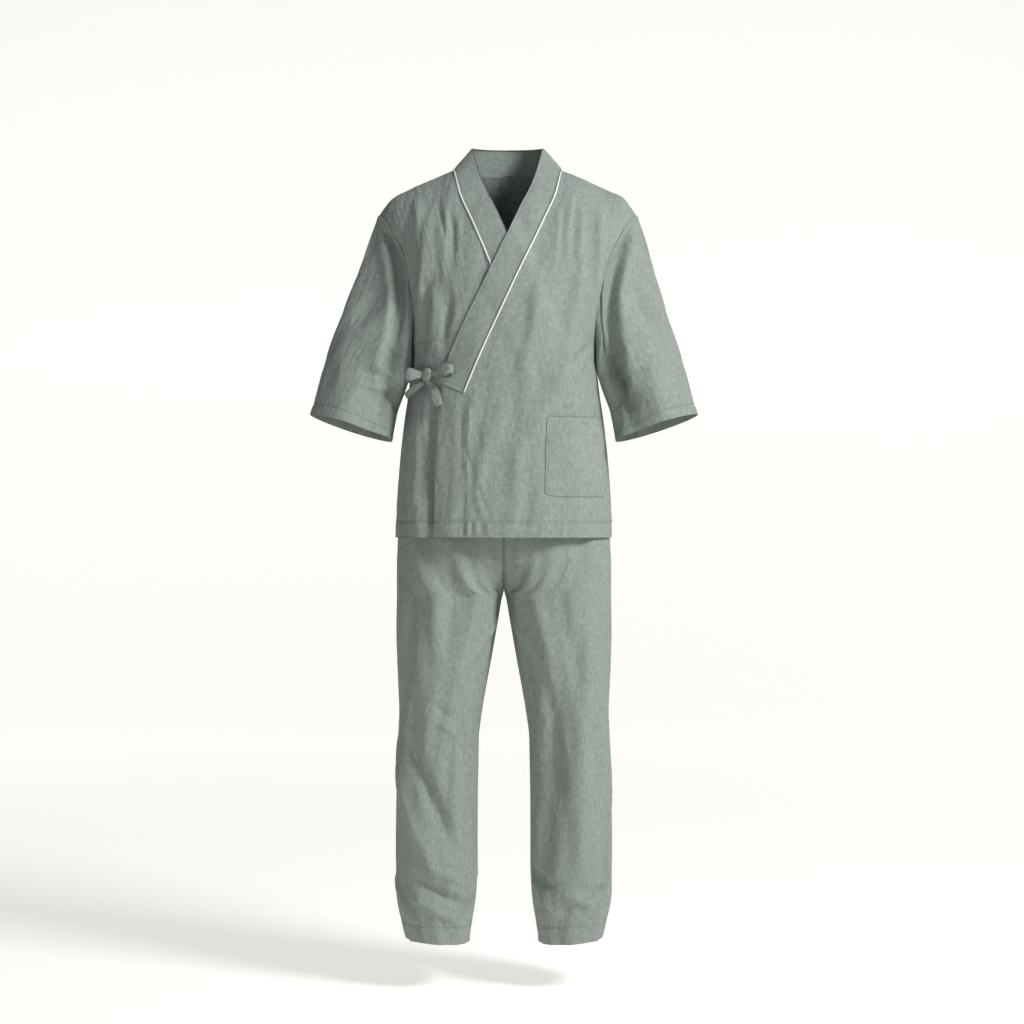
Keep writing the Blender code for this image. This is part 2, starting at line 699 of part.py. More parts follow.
def pocket(material):
    """Patch pocket, made from points of the over front moved out."""
    u, v = grid(8, 7)
    z = POCKET[0][0] + (POCKET[-1][0] - POCKET[0][0]) * v
    corner = np.maximum(u * 2 - 1, 1 - u * 2) ** 6
    z = z + POCKET_CORNER * corner * (1 - ease(v * 4))
    inner = follow(POCKET, 1, z)
    x = inner + (follow(POCKET, 2, z) - inner) * np.sin(HALF * u) ** 0.9
    place = front_at(x, z)
    lift = over_rise(x, z) + folds(x, z, OVER_FOLDS) + LAYER
    normal = front_normal(x, z)
    inside = place + normal * (lift - WALL / 2)[..., None]
    outside = place + normal * (lift + WALL / 2)[..., None]
    add_wall("pocket", lean(inside), lean(outside), material)


def spline(points, count):
    """Smooth path through a few points."""
    rows = [(index, *place) for index, place in enumerate(points)]
    at = np.linspace(0, len(points) - 1, count)
    return np.stack([follow(rows, column, at) for column in (1, 2, 3)], axis=-1)


def bow(material):
    """Side tie in a bow: knot, two loops, two tails and the two straps that it ties."""
    centre = front_at(KNOT_X, KNOT_Z)
    out = front_normal(KNOT_X, KNOT_Z)
    right = unit(np.cross(np.array([0.0, 0.0, 1.0]), -out))
    right = right * np.sign(right[0])
    up = unit(np.cross(out, right))
    up = up * np.sign(up[2])
    knot = centre + out * KNOT_LIFT

    build = bmesh.new()
    bmesh.ops.create_icosphere(build, subdivisions=2, radius=1.0)
    ball = np.array([vertex.co[:] for vertex in build.verts])
    faces = [tuple(vertex.index for vertex in face.verts) for face in build.faces]
    build.free()
    box = np.sign(ball) * np.abs(ball) ** 0.7
    box = box / np.max(np.linalg.norm(ball, axis=1))
    shape = knot + box[:, :1] * KNOT_HALF[0] * right + box[:, 1:2] * KNOT_HALF[1] * out
    shape = shape + box[:, 2:] * KNOT_HALF[2] * up
    add_mesh("tie_knot", lean(shape), faces, material)
    for name, rows in TAILS:
        path = spline(rows, 11)
        wide = unit(np.cross(np.gradient(path, axis=0), out[None, :])) * STRAP / 2
        add_strip(name, lean(path), wide, TIE_WALL, material)
    for name, root, tip, tilt in LOOPS:
        start, end = np.array(root), np.array(tip)
        turns = np.linspace(-LOOP_TURN, LOOP_TURN, 19)
        share = (1 + np.cos(turns)) / 2
        along = unit(end - start)
        spread = unit(np.cross(unit(np.cross(along, out * math.cos(tilt) + up * math.sin(tilt))), along))
        wide = unit(np.cross(along, spread)) * LOOP_STRAP / 2
        opening = LOOP_OPEN * np.sin(turns) * share ** 0.6 + LOOP_GAP * np.tanh(4 * turns)
        path = start + (end - start) * share[:, None] + spread * opening[:, None]
        add_strip(name, lean(path), np.broadcast_to(wide, path.shape), TIE_WALL, material)
    for name, starts, ends, height in STRAPS:
        x = np.linspace(starts, ends, 7)
        z = np.full(x.shape, height)
        path = front_at(x, z) + front_normal(x, z) * STRAP_LIFT
        wide = np.broadcast_to(np.array([0.0, 0.0, STRAP / 2]), path.shape)
        add_strip(name, lean(path), wide, TIE_WALL, material)


def trousers(material):
    """Four leg panels and the waistband."""
    for name, facing, rows in (("front", 1, FRONT_LEG_FOLDS), ("back", -1, BACK_LEG_FOLDS)):
        u, v = grid(10, 26)

        def surface(a, b, facing=facing):
            return leg_panel(a, b, facing)

        base = surface(u, v)
        shape = folds(u * LEG_ACROSS, base[..., 2], [(a * LEG_ACROSS, b, c * LEG_ACROSS, d, rise, width * LEG_ACROSS)
                                                   for a, b, c, d, rise, width in rows])
        shape = shape * ease(u / 0.12) * ease((1 - u) / 0.12)
        outside, inside = walls(surface, u, v, -facing * shape, facing * (WALL - shape))
        keep = np.array([0.0, -facing * SEAM / 2, 0.0])
        outside, inside = outside + keep, inside + keep
        outside[..., 0] = np.maximum(outside[..., 0], SEAM / 2)
        inside[..., 0] = np.maximum(inside[..., 0], SEAM / 2)
        add_wall("trouser_" + name + "_left", inside, outside, material)
        add_wall("trouser_" + name + "_right", mirror(inside), mirror(outside), material)
    turn = np.linspace(0, 2 * math.pi, 33)[:-1]
    z = np.linspace(LEG[-1][0] + SEAM, WAIST_TOP_Z, 4)[:, None]
    low = leg(turn, np.full(turn.shape, LEG[-1][0]))
    rings = np.stack([point(low[:, 0], low[:, 1], height) for height in z[:, 0]])
    out = unit(rings * np.array([1.0, 1.0, 0.0]))
    add_wall("waistband", rings - out * BAND_WALL, rings, material, ring=True)


def main():
    """Build every piece."""
    for old in list(bpy.data.objects):
        bpy.data.objects.remove(old, do_unlink=True)
    cloth = finish("cloth", CLOTH, CLOTH_ROUGH)
    trim = finish("trim", TRIM, TRIM_ROUGH)
    jacket_body(cloth)
    sleeves(cloth)
    collar(cloth, trim)
    pocket(cloth)
    bow(cloth)
    trousers(cloth)


main()
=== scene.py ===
"""Looks of the kimono pyjama set: linen jacket and trousers, piping, stitching and the tied bow.

Every cloth piece is a thin wall on a surface worked out from the garment's sizes. X runs to the
garment's own left, Y to its back and Z up, in metres, with the origin at the middle of the neck.
"""
import logging
import math
from collections.abc import Callable, Mapping, Sequence
from dataclasses import dataclass, field
from enum import Enum
from functools import partial

import bpy
import numpy as np
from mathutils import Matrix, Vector


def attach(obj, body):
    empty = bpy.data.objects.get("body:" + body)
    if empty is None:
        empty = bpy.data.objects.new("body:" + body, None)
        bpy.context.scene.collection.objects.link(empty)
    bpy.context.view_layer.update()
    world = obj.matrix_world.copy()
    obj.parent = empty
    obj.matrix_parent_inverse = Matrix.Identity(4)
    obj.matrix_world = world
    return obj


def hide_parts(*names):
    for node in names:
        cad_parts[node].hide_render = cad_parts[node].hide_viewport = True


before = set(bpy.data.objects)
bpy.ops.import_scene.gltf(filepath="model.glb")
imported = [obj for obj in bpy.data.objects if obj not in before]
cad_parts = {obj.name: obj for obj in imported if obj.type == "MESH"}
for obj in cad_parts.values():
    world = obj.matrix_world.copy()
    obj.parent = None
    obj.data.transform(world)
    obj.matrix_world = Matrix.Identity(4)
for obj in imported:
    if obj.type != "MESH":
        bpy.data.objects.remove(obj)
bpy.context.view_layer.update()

log = logging.getLogger("pyjama set")

Rows = Sequence[Sequence[float]]
Array = np.ndarray
Finish = bpy.types.Material
Piece = bpy.types.Object
Socket = bpy.types.NodeSocket

ROOT = "root"
HALF = math.pi / 2
MILLI = 0.001
# Walls of the cloth, of the collar band and of the waistband
WALL = 0.0011
BAND_WALL = 0.0020
WAIST_WALL = 0.0018
# Gap at a seam, and rise of one layer over another
SEAM = 0.0003
LAYER = 0.0022
# Height of the jacket's hem, its step, the groove along a stitch row, half width of the row's painted shade
HEM_BAND = 0.025
HEM_STEP = 0.0004
GROOVE = 0.0006
ROW_HALF = 0.0014
STITCH_PROUD = 0.0001


def follow(rows: Rows, column: int, at: Array | float) -> Array:
    """Smooth line through one column of a table: cubic pieces whose slopes never overshoot.

    Args:
        rows: Table whose first column rises.
        column: Column to read.
        at: Places in the first column.

    Returns:
        The value at each place.
    """
    table = np.array(rows, dtype=float)
    place, value = table[:, 0], table[:, column]
    step = np.diff(place)
    slope = np.diff(value) / step
    product = slope[1:] * slope[:-1]
    total = np.where(product > 0, slope[1:] + slope[:-1], 1.0)
    tangent = np.concatenate([slope[:1], np.where(product > 0, 2 * product / total, 0.0), slope[-1:]])
    at = np.clip(at, place[0], place[-1])
    cell = np.clip(np.searchsorted(place, at) - 1, 0, len(step) - 1)
    share = (at - place[cell]) / step[cell]
    rise = value[cell + 1] - value[cell]
    start = tangent[cell] * step[cell]
    end = tangent[cell + 1] * step[cell]
    return (value[cell] + start * share + (3 * rise - 2 * start - end) * share ** 2
            + (start + end - 2 * rise) * share ** 3)


def ease(share: Array) -> Array:
    """Soft step from 0 to 1: three times the square less twice the cube."""
    share = np.clip(share, 0.0, 1.0)
    return share * share * (3 - 2 * share)


def bell(away: Array, width: float) -> Array:
    """Bell curve: e to the power of minus the square of distance over width."""
    return np.exp(-(away / width) ** 2)


def folded_hem(from_row: Array, groove: float = 0.0016) -> Array:
    """Hem folded up to its stitch row: a step below the row, less a bell curve along it."""
    return HEM_STEP * ease((0.001 - from_row) / 0.002) - GROOVE * bell(from_row, groove)


def travel(path: Array) -> Array:
    """Distance run along a path at each of its points, 0 at its start."""
    return np.concatenate([[0.0], np.cumsum(np.linalg.norm(np.diff(path, axis=0), axis=-1))])


def point(x: Array | float, y: Array | float, z: Array | float) -> Array:
    """Points from their three coordinates."""
    return np.stack(np.broadcast_arrays(x, y, z), axis=-1).astype(float)


def unit(vector: Array) -> Array:
    """Vectors of length one."""
    return vector / np.maximum(np.linalg.norm(vector, axis=-1, keepdims=True), 1e-12)


def smoothed(path: Array, reach: int) -> Array:
    """Path whose points are the mean of their neighbours, with its ends kept.

    Args:
        path: Points in order.
        reach: Neighbours taken on each side.

    Returns:
        The smoothed points.
    """
    ends = np.arange(reach, 0, -1)
    padded = np.concatenate([2 * path[0] - path[ends], path, 2 * path[-1] - path[-1 - ends[::-1]]])
    return np.stack([np.convolve(padded[:, axis], np.full(2 * reach + 1, 1 / (2 * reach + 1)), "valid")
                     for axis in range(3)], axis=-1)


def mirrored(place: Array) -> Array:
    """Points moved to the garment's other side."""
    return place * np.array([-1.0, 1.0, 1.0])


@dataclass(frozen=True)
class Creases:
    """Creases listed one by one: rows of start, end, rise and half width on a flat chart of the panel.

    A crease is a bell curve across its line, which bows a little, and fades at both ends with the
    root of a sine.
    """

    rows: Rows
    scale: float = 1.0

    def height(self, across: Array, along: Array) -> Array:
        """Height of all creases, whose numbers are taken times the scale.

        Args:
            across: First chart coordinate.
            along: Second chart coordinate.

        Returns:
            Height outward, in metres.
        """
        total = np.zeros(np.broadcast(across, along).shape)
        for start_a, start_b, end_a, end_b, rise, width in np.array(self.rows) * self.scale:
            run_a, run_b = end_a - start_a, end_b - start_b
            length = math.hypot(run_a, run_b)
            off_a, off_b = across - start_a, along - start_b
            share = (off_a * run_a + off_b * run_b) / length ** 2
            arch = np.sin(math.pi * np.clip(share, 0.0, 1.0))
            bend = 0.04 * length * arch * math.sin(40 * start_a + 23 * end_b)
            away = (off_a * run_b - off_b * run_a) / length - bend
            taper = arch ** 0.6
            total += rise * bell(away, width) * taper
        return total


@dataclass(frozen=True)
class Crinkle:
    """Fine uneven crinkle of washed linen: many short waves of random pitch, length and slant.

    The height is a sum of sines across the cloth, each times a slow sine along it.
    """

    pitch: float
    length: float
    rise: float
    seed: int
    count: int = 16

    def height(self, across: Array, along: Array) -> Array:
        """Height of the crinkle.

        Args:
            across: Metres across the cloth.
            along: Metres along it.

        Returns:
            Height outward, in metres.
        """
        draw = np.random.default_rng(self.seed)
        total = np.zeros(np.broadcast(across, along).shape)
        for _ in range(self.count):
            pitch = self.pitch * draw.uniform(0.55, 1.8)
            length = self.length * draw.uniform(0.5, 1.8)
            slant = draw.normal(0.0, 0.12)
            turn, second = draw.uniform(0, 2 * math.pi, 2)
            wave = np.sin(2 * math.pi * (across + slant * along) / pitch + turn)
            total += wave * np.sin(2 * math.pi * (along - 0.4 * across) / length + second)
        return total * self.rise / math.sqrt(self.count)


class Held(Enum):
    """How a piece of cloth is held."""

    HUNG = "hung"
    FOLDED = "folded"
    GATHERED = "gathered"


def setup(node: bpy.types.Node, values: Mapping[str, float | tuple[float, ...]]) -> None:
    """Sets a node's inputs by name.

    Args:
        node: Node to set.
        values: Value of each input.
    """
    for name, value in values.items():
        node.inputs[name].default_value = value


@dataclass(frozen=True)
class LinenFinish:
    """Washed plain-weave linen: crossed threads, slubs along both ways and soft mottling."""

    name: str = "sage_linen"
    colour: tuple[float, float, float] = (0.262, 0.300, 0.276)
    light: tuple[float, float, float] = (0.328, 0.372, 0.344)
    dark: tuple[float, float, float] = (0.205, 0.238, 0.217)
    thread: float = 0.0011
    roughness: float = 0.92
    sheen: float = 0.05

    def material(self) -> Finish:
        """Node material on the piece's own UV map, which is in metres, and its shade attribute of painted
        shade.

        Two noises drawn out along the threads, one slub noise and one mottle are summed and turned
        into colour by a ramp, and the threads' bands and the slubs raise the bump.

        Returns:
            The material.
        """
        material = bpy.data.materials.new(self.name)
        material.use_nodes = True
        tree = material.node_tree
        nodes, links = tree.nodes, tree.links
        shader = nodes["Principled BSDF"]
        setup(shader, {"Roughness": self.roughness, "Sheen Weight": self.sheen, "Sheen Roughness": 0.55,
                       "Specular IOR Level": 0.18})
        chart = nodes.new("ShaderNodeUVMap")
        chart.uv_map = "UVMap"

        def stretched(across: float, along: float, detail: float = 2.0) -> Socket:
            """Noise with its own scale across and along the cloth.

            Args:
                across: Scale across, for a metre.
                along: Scale along, for a metre.
                detail: Layers of finer noise.

            Returns:
                The noise, from 0 to 1.
            """
            mapping = nodes.new("ShaderNodeMapping")
            mapping.inputs["Scale"].default_value = (across, along, 1.0)
            links.new(chart.outputs["UV"], mapping.inputs["Vector"])
            noise = nodes.new("ShaderNodeTexNoise")
            setup(noise, {"Scale": 1.0, "Detail": detail, "Roughness": 0.6})
            links.new(mapping.outputs["Vector"], noise.inputs["Vector"])
            return noise.outputs["Fac"]

        def math_node(kind: str, first: object, second: object) -> Socket:
            """One sum on two sockets or numbers.

            Args:
                kind: Name of the operation.
                first: First socket or number.
                second: Second socket or number.

            Returns:
                The result's socket.
            """
            node = nodes.new("ShaderNodeMath")
            node.operation = kind
            for slot, value in enumerate((first, second)):
                if isinstance(value, (int, float)):
                    node.inputs[slot].default_value = value
                else:
                    links.new(value, node.inputs[slot])
            return node.outputs[0]

        def bands(direction: str) -> Socket:
            """Threads lying one way, a little uneven.

            Args:
                direction: Axis across the threads.

            Returns:
                The threads' height, from 0 to 1.
            """
            wave = nodes.new("ShaderNodeTexWave")
            wave.wave_type = "BANDS"
            wave.bands_direction = direction
            setup(wave, {"Scale": 0.314 / self.thread, "Distortion": 1.2,
                         "Detail": 1.0, "Detail Scale": 0.35})
            links.new(chart.outputs["UV"], wave.inputs["Vector"])
            return wave.outputs["Fac"]

        warp = stretched(700.0, 34.0)
        weft = stretched(24.0, 620.0)
        slub = stretched(360.0, 90.0, 3.0)
        mottle = stretched(120.0, 90.0, 5.0)
        threads = math_node("ADD", math_node("MULTIPLY", warp, 0.26), math_node("MULTIPLY", weft, 0.16))
        tone = math_node("ADD", threads, math_node("MULTIPLY", slub, 0.38))
        tone = math_node("ADD", tone, math_node("MULTIPLY", mottle, 0.28))
        ramp = nodes.new("ShaderNodeValToRGB")
        stops = ramp.color_ramp.elements
        stops[0].position, stops[1].position = 0.41, 0.67
        stops[0].color, stops[1].color = (*self.dark, 1.0), (*self.light, 1.0)
        stops.new(0.54).color = (*self.colour, 1.0)
        links.new(tone, ramp.inputs["Fac"])
        # The shade attribute holds painted shade along seams, edges and stitch rows, multiplied into the
        # colour.
        shade = nodes.new("ShaderNodeAttribute")
        shade.attribute_name = "shade"
        mix = nodes.new("ShaderNodeMix")
        mix.data_type = "RGBA"
        mix.blend_type = "MULTIPLY"
        setup(mix, {"Factor": 1.0})
        links.new(ramp.outputs["Color"], mix.inputs["A"])
        links.new(shade.outputs["Color"], mix.inputs["B"])
        links.new(mix.outputs["Result"], shader.inputs["Base Color"])
        weave = math_node("MULTIPLY", math_node("ADD", bands("X"), bands("Y")), 0.5)
        height = math_node("ADD", weave, math_node("MULTIPLY", math_node("ADD", warp, slub), 0.9))
        bump = nodes.new("ShaderNodeBump")
        setup(bump, {"Strength": 0.55, "Distance": 0.0006})
        links.new(height, bump.inputs["Height"])
        links.new(bump.outputs["Normal"], shader.inputs["Normal"])
        return material


@dataclass(frozen=True)
class TrimFinish:
    """Smooth cotton trim or sewing thread: one colour, a fine twist and a low gloss."""

    name: str
    colour: tuple[float, float, float]
    roughness: float
    twist: float

    def material(self) -> Finish:
        """Node material whose fine diagonal twist reads the object's own coordinates.

        Returns:
            The material.
        """
        material = bpy.data.materials.new(self.name)
        material.use_nodes = True
        nodes, links = material.node_tree.nodes, material.node_tree.links
        shader = nodes["Principled BSDF"]
        setup(shader, {"Roughness": self.roughness, "Sheen Weight": 0.2})
        chart = nodes.new("ShaderNodeTexCoord")
        wave = nodes.new("ShaderNodeTexWave")
        wave.bands_direction = "DIAGONAL"
        setup(wave, {"Scale": self.twist, "Distortion": 1.5})
        links.new(chart.outputs["Object"], wave.inputs["Vector"])
        ramp = nodes.new("ShaderNodeValToRGB")
        ramp.color_ramp.elements[0].color = (*(0.86 * part for part in self.colour), 1.0)
        ramp.color_ramp.elements[1].color = (*self.colour, 1.0)
        links.new(wave.outputs["Fac"], ramp.inputs["Fac"])
        links.new(ramp.outputs["Color"], shader.inputs["Base Color"])
        bump = nodes.new("ShaderNodeBump")
        setup(bump, {"Strength": 0.3, "Distance": 0.0002})
        links.new(wave.outputs["Fac"], bump.inputs["Height"])
        links.new(bump.outputs["Normal"], shader.inputs["Normal"])
        return material


def make_mesh(name: str, vertices: Array, faces: Array, material: Finish,
              chart: Array | None = None, shade: Array | None = None,
              period: float = 0.0) -> Piece:
    """Mesh object from whole arrays.

    Args:
        name: Name of the piece.
        vertices: Points, one row each.
        faces: Corner numbers, four or three to a row.
        material: Finish of the piece.
        chart: Place on the flat cloth of every vertex, in metres.
        shade: Painted shade of every vertex, a share of its colour, 1 where the cloth has its own colour.
        period: Width of the flat cloth of a tube, so that the face across its seam stays whole.

    Returns:
        The object, at the origin.
    """
    mesh = bpy.data.meshes.new(name)
    corners = faces.shape[1]
    mesh.vertices.add(len(vertices))
    mesh.vertices.foreach_set("co", vertices.astype(np.float32).ravel())
    mesh.loops.add(faces.size)
    mesh.loops.foreach_set("vertex_index", faces.astype(np.int32).ravel())
    mesh.polygons.add(len(faces))
    mesh.polygons.foreach_set("loop_start", np.arange(0, faces.size, corners, dtype=np.int32))
    mesh.update(calc_edges=True)
    mesh.polygons.foreach_set("use_smooth", np.ones(len(faces), dtype=bool))
    if chart is not None:
        layer = mesh.uv_layers.new(name="UVMap")
        corner = chart[faces].astype(np.float32)
        if period:
            behind = corner[..., 0].max(axis=1, keepdims=True) - corner[..., 0] > period / 2
            corner[..., 0] += np.where(behind, period, 0.0)
        layer.data.foreach_set("uv", corner.ravel())
    tone = np.ones(len(vertices)) if shade is None else shade
    colours = mesh.color_attributes.new(name="shade", type="FLOAT_COLOR", domain="POINT")
    channels = np.stack([tone, tone, tone, np.ones(len(tone))], axis=-1)
    colours.data.foreach_set("color", channels.astype(np.float32).ravel())
    mesh.materials.append(material)
    mesh.validate()
    piece = bpy.data.objects.new(name, mesh)
    bpy.context.scene.collection.objects.link(piece)
    return piece


def wall_faces(rows: int, columns: int, ring: bool) -> Array:
    """Faces of a closed wall between two grids of points, with its rims.

    Args:
        rows: Points along.
        columns: Points across.
        ring: Whether the last column joins the first.

    Returns:
        Corner numbers, four to a row, facing out of the wall.
    """
    count = rows * columns
    index = np.arange(count).reshape(rows, columns)
    if ring:
        index = np.concatenate([index, index[:, :1]], axis=1)
    a, b, c, d = index[:-1, :-1], index[:-1, 1:], index[1:, 1:], index[1:, :-1]
    outer = np.stack([a, b, c, d], axis=-1).reshape(-1, 4) + count
    inner = np.stack([d, c, b, a], axis=-1).reshape(-1, 4)
    rims = [(index[0, 1:], index[0, :-1]), (index[-1, :-1], index[-1, 1:])]
    if not ring:
        rims += [(index[:-1, 0], index[1:, 0]), (index[1:, -1], index[:-1, -1])]
    sides = [np.stack([end, start, start + count, end + count], axis=-1) for start, end in rims]
    return np.concatenate([outer, inner, *[side[:, ::-1] for side in sides]])


def make_wall(name: str, inside: Array, outside: Array, material: Finish, chart: Array,
              shade: Array | None = None, ring: bool = False, flipped: bool = False,
              whole: bool = True) -> Piece:
    """Closed wall of cloth between two grids of points that share one flat chart.

    Args:
        name: Name of the piece.
        inside: Grid of points on the inner face.
        outside: Grid of points on the outer face.
        material: Finish of the piece.
        chart: Place of every grid point on the flat cloth.
        shade: Painted shade of every grid point.
        ring: Whether the last column joins the first.
        flipped: Whether the faces are turned over.
        whole: Whether the flat chart of a ring runs on over its closing seam.

    Returns:
        The object.
    """
    faces = wall_faces(*inside.shape[:2], ring)
    vertices = np.concatenate([inside.reshape(-1, 3), outside.reshape(-1, 3)])
    flat = np.tile(chart.reshape(-1, 2), (2, 1))
    tone = None if shade is None else np.tile(np.broadcast_to(shade, inside.shape[:2]).ravel(), 2)
    period = float(np.ptp(flat[:, 0])) if ring and whole else 0.0
    return make_mesh(name, vertices, faces[:, ::-1] if flipped else faces, material, flat, tone, period)


def make_rod(name: str, rings: Array, material: Finish) -> Piece:
    """Closed rod: rings joined in order, each end closed round a middle point.

    Args:
        name: Name of the piece.
        rings: Points of each ring.
        material: Finish of the rod.

    Returns:
        The object.
    """
    rows, sides = rings.shape[:2]
    index = np.arange(rows * sides).reshape(rows, sides)
    after = np.roll(index, -1, axis=1)
    body = np.stack([index[:-1], after[:-1], after[1:], index[1:]], axis=-1).reshape(-1, 4)
    halves = np.concatenate([body[:, [0, 1, 2]], body[:, [0, 2, 3]]])
    first, last = rows * sides, rows * sides + 1
    caps = np.concatenate([np.stack([after[0], index[0], np.full(sides, first)], axis=-1),
                           np.stack([index[-1], after[-1], np.full(sides, last)], axis=-1)])
    ends = [rings[0].mean(axis=0)[None], rings[-1].mean(axis=0)[None]]
    vertices = np.concatenate([rings.reshape(-1, 3), *ends])
    faces = np.concatenate([halves, caps])
    corners = vertices[faces]
    volume = np.einsum("ij,ij->i", corners[:, 0], np.cross(corners[:, 1], corners[:, 2])).sum()
    return make_mesh(name, vertices, faces if volume > 0 else faces[:, ::-1], material)


def spaced(count: int, lines: Sequence[float], near: float) -> Array:
    """Shares from 0 to 1, even but for extra ones close beside given lines and both ends.

    Args:
        count: Even steps.
        lines: Shares where a seam or stitch row runs.
        near: Share of the finest step.

    Returns:
        Rising shares.
    """
    beside = (-2.5, -1.4, -0.7, 0.0, 0.7, 1.4, 2.5)
    extra = [line + side * near for line in (0.0, 1.0, *lines) for side in beside]
    shares = np.clip(np.concatenate([np.linspace(0, 1, count + 1), extra]), 0, 1)
    shares = np.unique(np.round(shares, 6))
    keep = np.concatenate([[True], np.diff(shares) > near * 0.3])
    keep[-1] = True
    return shares[keep]


@dataclass
class Panel:
    """One piece of cloth: a surface, how far it is lifted, and its wall."""

    name: str
    surface: Callable[[Array, Array], Array]
    lift: Callable[[Array, Array, Array], Array]
    chart: Callable[[Array, Array, Array], Array]
    across: Array
    along: Array
    flat: tuple[float, float]
    area: float
    rests_on: Sequence[str]
    sign: float = 1.0
    wall: float = WALL
    ring: bool = False
    other_side: bool = False
    sway: Callable[[Array], Array] | None = None
    shade: Callable[[Array, Array, Array], Array] | None = None
    keep: Callable[[Array], Array] | None = None
    held: Held = Held.HUNG

    def skin(self, u: Array, v: Array) -> tuple[Array, Array]:
        """Surface of the cloth before its wall.

        The outward direction is the cross product of two short steps on the surface.

        Args:
            u: Share across.
            v: Share along.

        Returns:
            Lifted middle surface, and its outward direction.
        """
        small = 0.0006
        base = self.surface(u, v)
        across = self.surface(u + small, v) - self.surface(u - small, v)
        upward = self.surface(u, v + small) - self.surface(u, v - small)
        normal = unit(np.cross(across, upward)) * self.sign
        return base + normal * self.lift(u, v, base)[..., None], normal

    def placed(self, place: Array) -> Array:
        """Points after the seam gap, the mirror and the sway.

        Args:
            place: Points to move.

        Returns:
            The points where they end up.
        """
        if self.keep is not None:
            place = self.keep(place)
        if self.other_side:
            place = mirrored(place)
        return place if self.sway is None else self.sway(place)

    def build(self, material: Finish) -> Piece:
        """Wall of the piece with its flat chart in metres.

        Each face lies half the wall's thickness off the middle surface.

        Args:
            material: Finish of the piece.

        Returns:
            The piece.
        """
        u, v = np.meshgrid(self.across, self.along)
        place, normal = self.skin(u, v)
        half = self.wall / 2
        inside = self.placed(place - normal * half)
        outside = self.placed(place + normal * half)
        # Painted shade of the piece along its seams and stitch rows, where it has one.
        tone = None if self.shade is None else self.shade(u, v, place)
        flipped = (self.sign < 0) != self.other_side
        return self.dress(make_wall(f"{self.name}_cloth", inside, outside, material, self.chart(u, v, place),
                                    tone, self.ring, flipped))

    def dress(self, piece: Piece) -> Piece:
        """Rides on the frame, stands for its solid and logs its number of faces.

        Args:
            piece: Mesh of this panel.

        Returns:
            The same piece.
        """
        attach(piece, ROOT)
        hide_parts(self.name)
        log.info("%s: %d faces", piece.name, len(piece.data.polygons))
        return piece

    def line(self, u: Array, v: Array) -> tuple[Array, Array]:
        """Path on the outer face for stitches, a little proud of the cloth.

        Args:
            u: Share across.
            v: Share along.

        Returns:
            Points of the path, and outward directions.
        """
        place, normal = self.skin(u, v)
        path = self.placed(place + normal * (self.wall / 2 + STITCH_PROUD))
        return path, (mirrored(normal) if self.other_side else normal)


@dataclass
class Stitching:
    """Rows of machine stitches: short rounded thread ends laid along a path at an even pitch."""

    name: str
    pitch: float = 0.0036
    length: float = 0.0023
    width: float = 0.00055
    parts: list[Array] = field(default_factory=list)

    def add(self, path: Array, outward: Array) -> None:
        """Adds one row of stitches along a path.

        Args:
            path: Points of the row, in order.
            outward: Direction out of the cloth at each point.
        """
        run = travel(path)
        count = int(run[-1] / self.pitch)
        if count < 1:
            return
        middle = (np.arange(count) + 0.5) * run[-1] / count

        def read(at: Array, rows: Array) -> Array:
            """Rows read at distances along the path."""
            return np.stack([np.interp(at, run, rows[:, axis]) for axis in range(3)], axis=-1)

        ends = [read(middle + side * self.length / 2, path) for side in (-1, 1)]
        out = unit(read(middle, outward))
        along = unit(ends[1] - ends[0])
        side = np.cross(along, out)
        half = self.width / 2
        low = -out * half * 0.4
        high = out * half
        centre = (ends[0] + ends[1]) / 2
        corners = [ends[0] + low - side * half * 0.5, ends[0] + low + side * half * 0.5,
                   ends[1] + low + side * half * 0.5, ends[1] + low - side * half * 0.5,
                   centre + high - side * half, centre + high + side * half]
        self.parts.append(np.stack(corners, axis=1))

    def build(self, material: Finish) -> Piece:
        """One mesh with every stitch: a low wedge of eight triangles each.

        Args:
            material: Finish of the thread.

        Returns:
            The piece.
        """
        blocks = np.concatenate(self.parts)
        shape = np.array([[0, 2, 1], [0, 3, 2], [0, 1, 5], [0, 5, 4],
                          [2, 3, 4], [2, 4, 5], [1, 2, 5], [3, 0, 4]])
        faces = (shape[None] + 6 * np.arange(len(blocks))[:, None, None]).reshape(-1, 3)
        piece = make_mesh(self.name, blocks.reshape(-1, 3), faces, material)
        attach(piece, ROOT)
        log.info("%s: %d stitches", self.name, len(blocks))
        return piece


